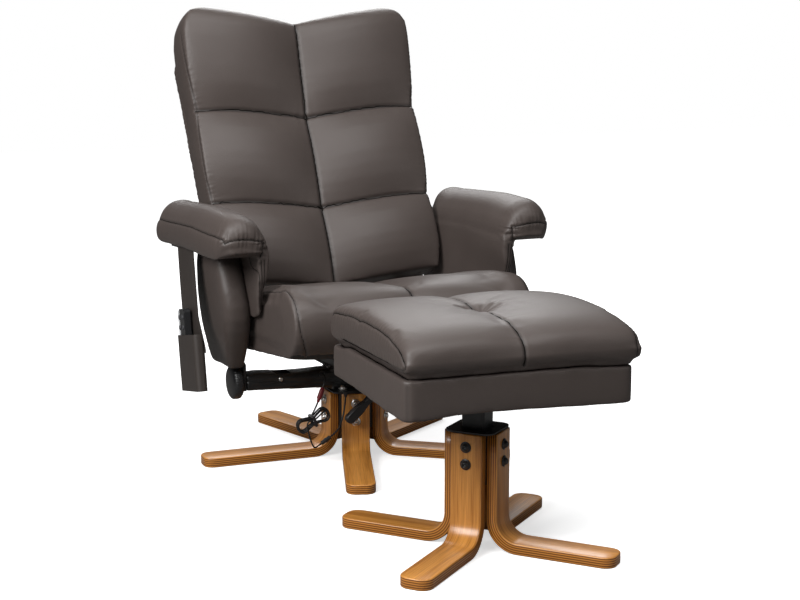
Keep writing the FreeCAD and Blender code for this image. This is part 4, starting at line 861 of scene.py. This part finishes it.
def armSeams(tree, side):
    # one seam along the outer edge, round the front and down the inner corner
    p = armPlan
    wide = p["outside"] - p["inside"]
    spots = []

    def add(x, y, z, way):
        way = Vector((side * way[0], way[1], way[2])).normalized()
        spots.append((fromChair(side * x, y, z) - way * 0.2, way))

    for k in range(70):
        y = p["back"] - 12 - (p["back"] - p["front"] - 30) * k / 69
        turn = math.radians(52) * max(0, (-50 - y) / 172) ** 1.6
        lift = -math.tan(math.radians(p["tilt"])) * y - 13 * max(0, (-40 - y) / 170)
        way = (-0.75 * math.cos(turn), 0.75 * math.sin(turn), -0.66)
        add(p["inside"] - 4 + wide * float(armWidth(y, side)), y, 531 + lift, way)
    reach = wide * float(armWidth(p["front"] + 18, side))
    for k in range(1, 16):
        x = p["inside"] - 4 + reach - (reach - 8) * k / 15
        add(x, p["front"] + 10, 522 - 4 * (k / 15) ** 2, (0.25 * k / 15, 0.75, -0.6 + 0.3 * k / 15))
    outer = castLine(tree, spots)
    spots.clear()
    for k in range(12):
        add(p["inside"], p["front"] + 14, 517 - k * 3, (0.7, 0.7, 0))
    corner = castLine(tree, spots)
    folds = []
    for k in range(3):
        spots.clear()
        for step in range(26):
            up = 1 - step / 25
            add(p["lining"] - 2 + (4 + 7 * k) * (0.35 + 0.65 * up), p["front"] - 100, 372 + 106 * up, (0, 1, 0))
        folds.append(castLine(tree, spots))
    return outer, corner, folds


def buildArm(side, word):
    p = armPlan
    obj = voxelSkin(armBlank(side, word), "armPad" + word.title(), p["voxel"], 6)
    shapeArm(obj, side)
    puff(obj, chairLocal(readVerts(obj, "co"))[2] < 496, pressure=2.5, cap=4)
    refine(obj)
    outer, corner, folds = armSeams(surfaceTree(obj), side)
    seams = [sewn(outer, 1.4, 2.8, gather=0.15, every=18, fade=8, ink=0.6),
             sewn(outer[-22:], 0.4, 2.8, gather=0.9, every=11, fade=15, ink=0.6),
             sewn(corner, 2.4, 3.2, gather=1.5, every=10, fade=18, ink=0.6)]
    seams += [sewn(line, 1.2, 2.4, ink=0.6) for line in folds]
    sewSeams(obj, seams)
    settle(obj, "swivel_frame", "upholstery", ["arm_pad_" + word, "arm_lining_" + word])
    creaseShadeRow("armCreaseShade" + word.title(), obj, [outer, corner] + folds, 1.4, "swivel_frame")
    stitchRow("armStitches" + word.title(), obj, [outer], 3.2, "swivel_frame")


panelPlan = {"voxel": 5, "grow": 2.2, "hip": 3.0}


def buildPanel(word):
    p = panelPlan
    obj = voxelSkin(cadShape("side_panel_" + word), "sidePanel" + word.title(), p["voxel"], 6)
    co = readVerts(obj, "co")
    y, z = chairLocal(co)[1:]
    grow = p["grow"] + p["hip"] * smooth(290, 240, z) * smooth(0, 50, y)
    writeVerts(obj, co + readVerts(obj, "normal") * (grow * smooth(470, 440, z) * mm)[:, None])
    refine(obj)
    sewSeams(obj, [])
    settle(obj, "swivel_frame", "upholstery", ["side_panel_" + word])


# footstool
stoolPlan = {"place": (-53, -700), "yaw": -3.8, "halfX": 217, "halfY": 192, "over": 12,
             "flush": 10, "frontRoll": 9, "rimLift": 8, "boxLift": 7.6, "cornerSag": 6, "bulge": 2.0,
             "fold": 2.2, "dimple": 9}
stoolTurn = math.radians(stoolPlan["yaw"])
stoolCos, stoolSin = math.cos(stoolTurn), math.sin(stoolTurn)


def onStool(x, y, z):
    px, py = stoolPlan["place"]
    return fromChair(px + x * stoolCos - y * stoolSin, py + x * stoolSin + y * stoolCos, z)


def stoolLocal(co):
    x, y, z = ((co - np.array(onStool(0, 0, 0))) / mm).T
    return x * stoolCos + y * stoolSin, y * stoolCos - x * stoolSin, z


def stoolWay(x, y, z):
    return Vector((x * stoolCos - y * stoolSin, x * stoolSin + y * stoolCos, z))


def shapeLid(obj):
    # flush on one side, its soft lower edge drawn up at the front and sides
    plan = stoolPlan
    x, y, z = stoolLocal(readVerts(obj, "co"))
    x += plan["flush"] * smooth(-150, -plan["halfX"] - plan["over"], x)
    z -= plan["frontRoll"] * smooth(-130, -204, y) ** 1.5 * smooth(392, 432, z)
    rim = np.maximum(smooth(-188, -212, x), smooth(-164, -188, y) * (1 - 0.7 * smooth(100, 200, x)))
    z += plan["rimLift"] * rim * smooth(150, 100, y) * smooth(400, 366, z)
    writeVerts(obj, np.array([onStool(*place) for place in zip(x, y, z)]))
    bm = bmesh.new()
    bm.from_mesh(obj.data)
    upper = [v for v in bm.verts if v.co.z > 396 * mm]
    for step in range(34):
        if step == 10:
            upper = [v for v in upper if v.co.y < onStool(0, -105, 0).y]
        bmesh.ops.smooth_vert(bm, verts=upper, factor=0.5, use_axis_x=True, use_axis_y=True, use_axis_z=True)
    bm.to_mesh(obj.data)
    bm.free()


def buildLid():
    plan = stoolPlan
    bm = cadShape("lid_cushion")
    bm.from_mesh(frame["nodes"]["lid_board"].data)
    bmesh.ops.remove_doubles(bm, verts=bm.verts[:], dist=2e-5)
    obj = voxelSkin(bm, "lidCushion", 5, 6)
    shapeLid(obj)
    x, y, z = stoolLocal(readVerts(obj, "co"))
    held = (z < 384) | (np.hypot(x, y) < 9)
    puff(obj, held, pressure=2, cap=4, bend=9)
    refine(obj)
    tree = surfaceTree(obj)
    fy = plan["halfY"] + plan["over"]
    fx = plan["halfX"] + plan["over"]
    walk = frontWalk([fy - 20 - k * 9 for k in range(43)], 700, (-fy + 22, 415), 9, -fy - 300,
                     [412 - k * 5 for k in range(8)])

    def lidLine(x):
        return castLine(tree, [(onStool(x, y, z), stoolWay(0, wy, wz)) for (y, z), (wy, wz) in walk])

    middle = lidLine(0)
    seams = [sewn(middle, 2.8, 3.4, gather=0.4, every=26)]
    edges = [lidLine(side * (fx - 12)) for side in (-1, 1)]
    seams += [sewn(line, 1.8, 2.6, gather=0.5, fade=9, ink=0.65) for line in edges]
    sewSeams(obj, seams)
    co = readVerts(obj, "co")
    x, y, z = stoolLocal(co)
    reach = np.hypot(x, y)
    spoke = np.arctan2(y, x)
    fan = np.sin(11 * spoke + 1.3 * np.sin(2 * spoke)) * np.exp(-reach / 46) * (1 - np.exp(-(reach / 12) ** 2))
    top = np.clip((z - 425) / 10, 0, 1)
    co[:, 2] += (plan["fold"] * fan - plan["dimple"] * np.exp(-(reach / 11) ** 2)) * top * mm
    writeVerts(obj, co)
    settle(obj, "lid", "upholstery", ["lid_cushion", "lid_board"])
    creaseShadeRow("lidCreaseShade", obj, [middle], 2.6, "lid")
    creaseShadeRow("lidEdgeCreaseShade", obj, edges, 1.4, "lid")
    stitchRow("lidStitches", obj, edges, 3.2, "lid")


def buildBox():
    plan = stoolPlan
    obj = voxelSkin(cadShape("stool_box"), "stoolBox", 4.5, 3)
    co = readVerts(obj, "co")
    x, y, z = stoolLocal(co)
    co[:, 2] += plan["boxLift"] * smooth(325, 356, z) * smooth(150, 100, y) * (1 - 0.7 * smooth(100, 200, x)) * mm
    corners = np.maximum(smooth(-60, 210, x) * smooth(60, -150, y), smooth(-100, -210, x) * smooth(100, -150, y))
    co[:, 2] -= plan["cornerSag"] * smooth(325, 300, z) * corners * mm
    lift = np.sin(np.clip((z - 299) / 59, 0, 1) * math.pi)
    wide = np.clip(1 - (np.abs(x) / 215) ** 4, 0, 1)
    deep = np.clip(1 - (np.abs(y) / 192) ** 4, 0, 1)
    out = np.zeros_like(co)
    outX = np.where(np.abs(x) > 208, np.sign(x) * plan["bulge"] * lift * deep, 0)
    outY = np.where(np.abs(y) > 185, np.sign(y) * plan["bulge"] * lift * wide, 0)
    out[:, 0] = outX * stoolCos - outY * stoolSin
    out[:, 1] = outX * stoolSin + outY * stoolCos
    writeVerts(obj, co + out * mm)
    tree = surfaceTree(obj)
    seams = []
    for sx, sy in ((-1, -1), (1, -1), (1, 1), (-1, 1)):
        way = stoolWay(-sx, -sy, 0)
        spots = [(onStool(sx * 212, sy * 189, 300 + k * 4) - way * 0.2, way) for k in range(15)]
        seams.append(sewn(castLine(tree, spots), 1.2, 3, ink=0.35))
    sewSeams(obj, seams)
    settle(obj, "footstool", "upholstery", ["stool_box"])
    blackUnder(obj, 302)


buildBack()
buildSeat()
buildArm(1, "left")
buildArm(-1, "right")
buildPanel("left")
buildPanel("right")
buildLid()
buildBox()

# bentwood legs and their screws
print("stage: legs")
chairLegs = {"count": 5, "first": -110.9, "centre": (0, 0), "face": 49, "reach": 355, "top": 145, "bend": 34,
             "drops": (22, 62), "body": "chair_base", "node": "chair_leg_", "word": "chairLeg"}
stoolLegs = {"count": 4, "first": -140.9, "centre": (-53, -700), "face": 31.5, "reach": 275, "top": 221, "bend": 40,
             "drops": (24, 56), "body": "footstool", "node": "stool_leg_", "word": "stoolLeg"}
board = {"wide": 62, "thick": 21, "tip": 22, "rim": 2.6}


def flatBoard(length):
    wide, thick = board["wide"], board["thick"]
    bm = bmesh.new()
    bmesh.ops.create_cube(bm, size=1)
    bmesh.ops.scale(bm, vec=(length, wide, thick), verts=bm.verts[:])
    bmesh.ops.translate(bm, vec=(length / 2, 0, thick / 2), verts=bm.verts[:])
    upright = [e for e in bm.edges if abs(e.verts[0].co.z - e.verts[1].co.z) > 1 and e.verts[0].co.x > length - 1]
    rounded(bm, upright, board["tip"], 8)
    rims = [e for e in bm.edges if abs(e.verts[0].co.z - e.verts[1].co.z) < 1e-4
            and len(e.link_faces) == 2 and e.calc_face_angle() > 1.0]
    rounded(bm, rims, board["rim"], 3)
    return bm


def byLeg(plan, turn, r, y, z):
    px, py = plan["centre"]
    return fromChair(px + r * math.cos(turn) - y * math.sin(turn), py + r * math.sin(turn) + y * math.cos(turn), z)


def bendBoard(plan, angle, seed):
    thick, bend = board["thick"], plan["bend"]
    midR = plan["face"] + thick + bend
    midZ = thick + bend
    fall = plan["top"] - midZ
    turn = (bend + thick / 2) * math.pi / 2
    length = fall + turn + plan["reach"] - midR
    bm = flatBoard(length)
    cuts = [fall + turn * k / 14 for k in range(15)] + [fall * k / 4 for k in range(1, 4)]
    cuts += [fall + turn + (length - fall - turn - 30) * k / 6 for k in range(1, 6)]
    for x in cuts:
        sliced(bm, (x, 0, 0), (1, 0, 0), 1e-5)
    flat = bm.verts.layers.float_vector.new("flatPlace")
    edge = bm.verts.layers.float.new("edgeMask")
    bm.normal_update()
    for v in bm.verts:
        v[flat] = Vector((v.co.x + seed * 731, v.co.y + seed * 13, v.co.z)) * mm
        v[edge] = 1.0 if abs(v.normal.z) < 0.45 else 0.0
    way = math.radians(angle)
    for v in bm.verts:
        u, y, w = v.co
        if u < fall:
            r, z = plan["face"] + w, plan["top"] - u
        elif u < fall + turn:
            t = (u - fall) / turn * math.pi / 2
            radius = bend + thick - w
            r, z = midR - radius * math.cos(t), midZ - radius * math.sin(t)
        else:
            r, z = midR + u - fall - turn, w
        v.co = byLeg(plan, way, r, y, z)
    outward(bm)
    return bm


def buildLegs(plan):
    for k in range(plan["count"]):
        angle = plan["first"] + k * 360 / plan["count"]
        bm = bendBoard(plan, angle, k + plan["count"])
        number = str(k + 1)
        addPiece(bm, plan["word"] + number, plan["body"], "bentwood", [plan["node"] + number])


buildLegs(chairLegs)
buildLegs(stoolLegs)

screw = {"washer": 10.5, "washerThick": 2, "head": 7, "headHigh": 6, "socket": 3.0, "socketDeep": 3.2}


def screwHead(bm, place):
    # washer, button head and six-sided socket, turned about X
    p = screw
    w, h = p["washerThick"], p["washerThick"] + p["headHigh"]
    washer, head, socket, deep = p["washer"], p["head"], p["socket"], h - p["socketDeep"]
    outline = [(-4, 4), (0, 4), (0, washer - 0.4), (0.4, washer), (w - 0.5, washer), (w, washer - 0.6),
               (w, head), (w + 2.2, head), (w + 4.0, head - 1.0), (h - 0.5, head - 2.2),
               (h, socket + 1.2), (h, socket + 0.2), (deep, socket), (deep, 0.05)]
    turned(bm, [(x, 0, r) for x, r in outline], (1, 0, 0), 24)
    verts = {v for f in bm.faces for v in f.verts if not v.tag}
    for v in verts:
        r = math.hypot(v.co.y, v.co.z)
        if abs(r - socket) < 0.25 and v.co.x > w + 1:
            turn = math.atan2(v.co.z, v.co.y) % (math.pi / 3) - math.pi / 6
            v.co.y /= math.cos(turn) * r / socket
            v.co.z /= math.cos(turn) * r / socket
    bmesh.ops.transform(bm, matrix=place, verts=list(verts))
    for v in verts:
        v.tag = True


def buildScrews(plan, name, slot, node):
    bm = bmesh.new()
    for k in range(plan["count"]):
        turn = math.radians(plan["first"] + k * 360 / plan["count"])
        for drop in plan["drops"]:
            spot = byLeg(plan, turn, plan["face"] + board["thick"], 0, plan["top"] - drop)
            place = Matrix.Translation(spot) @ Matrix.Rotation(turn, 4, "Z") @ Matrix.Scale(mm, 4)
            screwHead(bm, place)
    outward(bm)
    addPiece(bm, name, plan["body"], slot, [node])


buildScrews(chairLegs, "chairLegScrews", "zinc_screws", "chair_leg_bolts")
buildScrews(stoolLegs, "stoolLegScrews", "black_screws", "stool_leg_bolts")

# clamp knobs
print("stage: knobs")
knob = {"dia": 74, "thick": 27, "ribs": 40, "start": 276.3, "y": -20, "z": 188.05}


def buildKnob(side, word):
    p = knob
    r, end = p["dia"] / 2, p["thick"]
    outline = [(0, 5), (0, r - 10), (3, r - 4), (6, r - 0.8), (9, r), (end - 9, r), (end - 6, r - 1.2),
               (end - 3.5, r - 5), (end - 2, 0.62 * r), (end - 1, 0.4 * r), (end - 1, 0.02)]
    bm = bmesh.new()
    turned(bm, [(x, 0, d) for x, d in outline], (1, 0, 0), p["ribs"] * 4)
    for v in bm.verts:
        d = math.hypot(v.co.y, v.co.z)
        if d > r - 4.5:
            turn = math.atan2(v.co.z, v.co.y) * p["ribs"]
            share = 1 - 0.022 * (1 + math.cos(turn)) / 2
            v.co.y *= share
            v.co.z *= share
    bmesh.ops.transform(bm, matrix=Matrix.Translation(fromChair(side * p["start"], p["y"], p["z"]))
                        @ Matrix.Diagonal((side * mm, mm, mm, 1)), verts=bm.verts[:])
    outward(bm)
    addPiece(bm, "clampKnob" + word.title(), "knob_" + word, "black_plastic", ["clamp_knob_" + word])


buildKnob(1, "left")
buildKnob(-1, "right")

# pocket and remote
print("stage: pocket")
pocket = {"inner": -374, "mouth": 300, "bottom": 180, "front": -48, "back": 76, "slant": 10.5, "hangs": 480,
          "remoteY": 44, "trim": 10, "flat": (0.172, 0.42), "area": 0.058, "rim": 0.45, "belly": 2.6, "strapIn": 34,
          "strapWave": 1.2}


def pocketLocal(place):
    # the holder's own upright frame, before its foot swung forwards
    turn = math.radians(pocket["slant"])
    x, y, z = (place - swivel) / mm
    z -= pocket["hangs"]
    return x, y * math.cos(turn) - z * math.sin(turn), y * math.sin(turn) + z * math.cos(turn) + pocket["hangs"]


def buildPocket():
    p = pocket
    bm = cadShape("remote_pocket")
    bmesh.ops.dissolve_limit(bm, angle_limit=0.03, verts=bm.verts[:], edges=bm.edges[:])
    sharp = [e for e in bm.edges if len(e.link_faces) == 2 and e.calc_face_angle() > 0.9]
    rounded(bm, sharp, p["rim"] * mm, 2, clamp_overlap=True)
    low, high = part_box("remote_pocket")
    for axis in (1, 2):
        way = Vector((0, 0, 0))
        way[axis] = 1
        count = int((high[axis] - low[axis]) / 0.008)
        for k in range(1, count):
            sliced(bm, low + (high - low) * (k / count), way, 1e-6)
    for v in bm.verts:
        x, y, z = pocketLocal(v.co)
        across = (y - p["front"]) / (p["back"] - p["front"])
        up = (z - p["bottom"]) / (p["mouth"] - p["bottom"])
        if x < p["inner"] - 6 and 0 < across < 1 and 0 < up < 1.02:
            v.co.x -= p["belly"] * mm * math.sin(across * math.pi) * math.sin(min(up, 1) * 2.2)
        if z > p["mouth"] - 30 and y < 0 and x > p["inner"] - 4:
            share = min(1, (z - p["mouth"] + 30) / 60)
            v.co.y += p["strapIn"] * mm * share * min(1, -y / 48)
        if z > p["mouth"] + 4:
            v.co.x += p["strapWave"] * mm * math.sin((p["hangs"] - z) / 170 * math.pi) * math.sin(y * 0.06)
    piece = addPiece(bm, "remotePocket", "swivel_frame", "upholstery", ["remote_pocket"], pocketShadedHide, smooth=False)
    piece.data.attributes.new("seamShadeMask", "FLOAT", "POINT")


def buildRemoteFace():
    bm = cadShape("remote_face")
    p = pocket
    turn = math.radians(p["slant"])
    c, s, rear = math.cos(turn), math.sin(turn), p["remoteY"] + p["trim"]
    sliced(bm, fromChair(0, rear * c, p["hangs"] - rear * s), (0, c, -s), 1e-6)
    piece = addPiece(bm, "remoteFace", "remote", "black_plastic", ["remote_face"], smooth=False)
    piece.data.materials.append(paints["silver_plastic"])
    for face in piece.data.polygons:
        face.material_index = 1 if pocketLocal(face.center)[1] > rear else 0


# each fold of the sleeve: its rise along the beam, its height and its size
sleeve = {"voxel": 4, "inset": 1.5, "foldWide": 5.5, "wave": 3,
          "folds": ((0.10, 172, 2.4), (-0.06, 196, 1.8), (0.16, 188, 1.6), (0.03, 206, 2.0), (-0.13, 182, 1.5))}


def buildSleeve():
    # thin cloth drawn over the beam, with long slack folds
    p = sleeve
    obj = voxelSkin(cadShape("cross_beam"), "beamSleeve", p["voxel"], 3)
    co = readVerts(obj, "co")
    x, z = chairLocal(co)[::2]
    move = np.full(len(co), -p["inset"])
    for rise, start, size in p["folds"]:
        line = start + rise * (np.abs(x) - 150) + p["wave"] * np.sin(x / 47 + start)
        move += size * np.exp(-((z - line) / p["foldWide"]) ** 2)
    writeVerts(obj, co + readVerts(obj, "normal") * (move * smooth(264, 240, np.abs(x)) * mm)[:, None])
    settle(obj, "swivel_frame", "black_steel", ["cross_beam"], wrapBlack)


beamScrew = {"place": (-193, -45, 190), "steps": 20,
             "outline": ((0, 5.2), (1.2, 5.0), (2.4, 3.6), (2.8, 1.6), (2.2, 0.9), (2.2, 0.02))}


def buildBeamScrew():
    bm = bmesh.new()
    turned(bm, [(0, -h, r) for h, r in beamScrew["outline"]], (0, 1, 0), beamScrew["steps"])
    place = Matrix.Translation(fromChair(*beamScrew["place"])) @ Matrix.Scale(mm, 4)
    bmesh.ops.transform(bm, matrix=place, verts=bm.verts[:])
    outward(bm)
    addPiece(bm, "beamScrew", "swivel_frame", "zinc_screws")


buildPocket()
buildRemoteFace()
buildSleeve()
buildBeamScrew()

# CAD nodes that show as they are, in black plastic unless a word of their name is listed
slotWords = {
    "zinc_screws": ("frame_bolts",),
    "plywood": ("seat_pan",),
    "key_rubber": ("key",),
    "red_plastic": ("red_connector",),
    "black_steel": ("hub", "swivel_plate", "upright", "stool_post", "stool_core", "frame", "hinge"),
}


def paintNode(name):
    for slot, words in slotWords.items():
        if any(word in name for word in words):
            return paints[slot]
    return paints["black_plastic"]


for name, node in frame["nodes"].items():
    node.data.materials.clear()
    node.data.materials.append(paintNode(name))

bpy.context.view_layer.update()
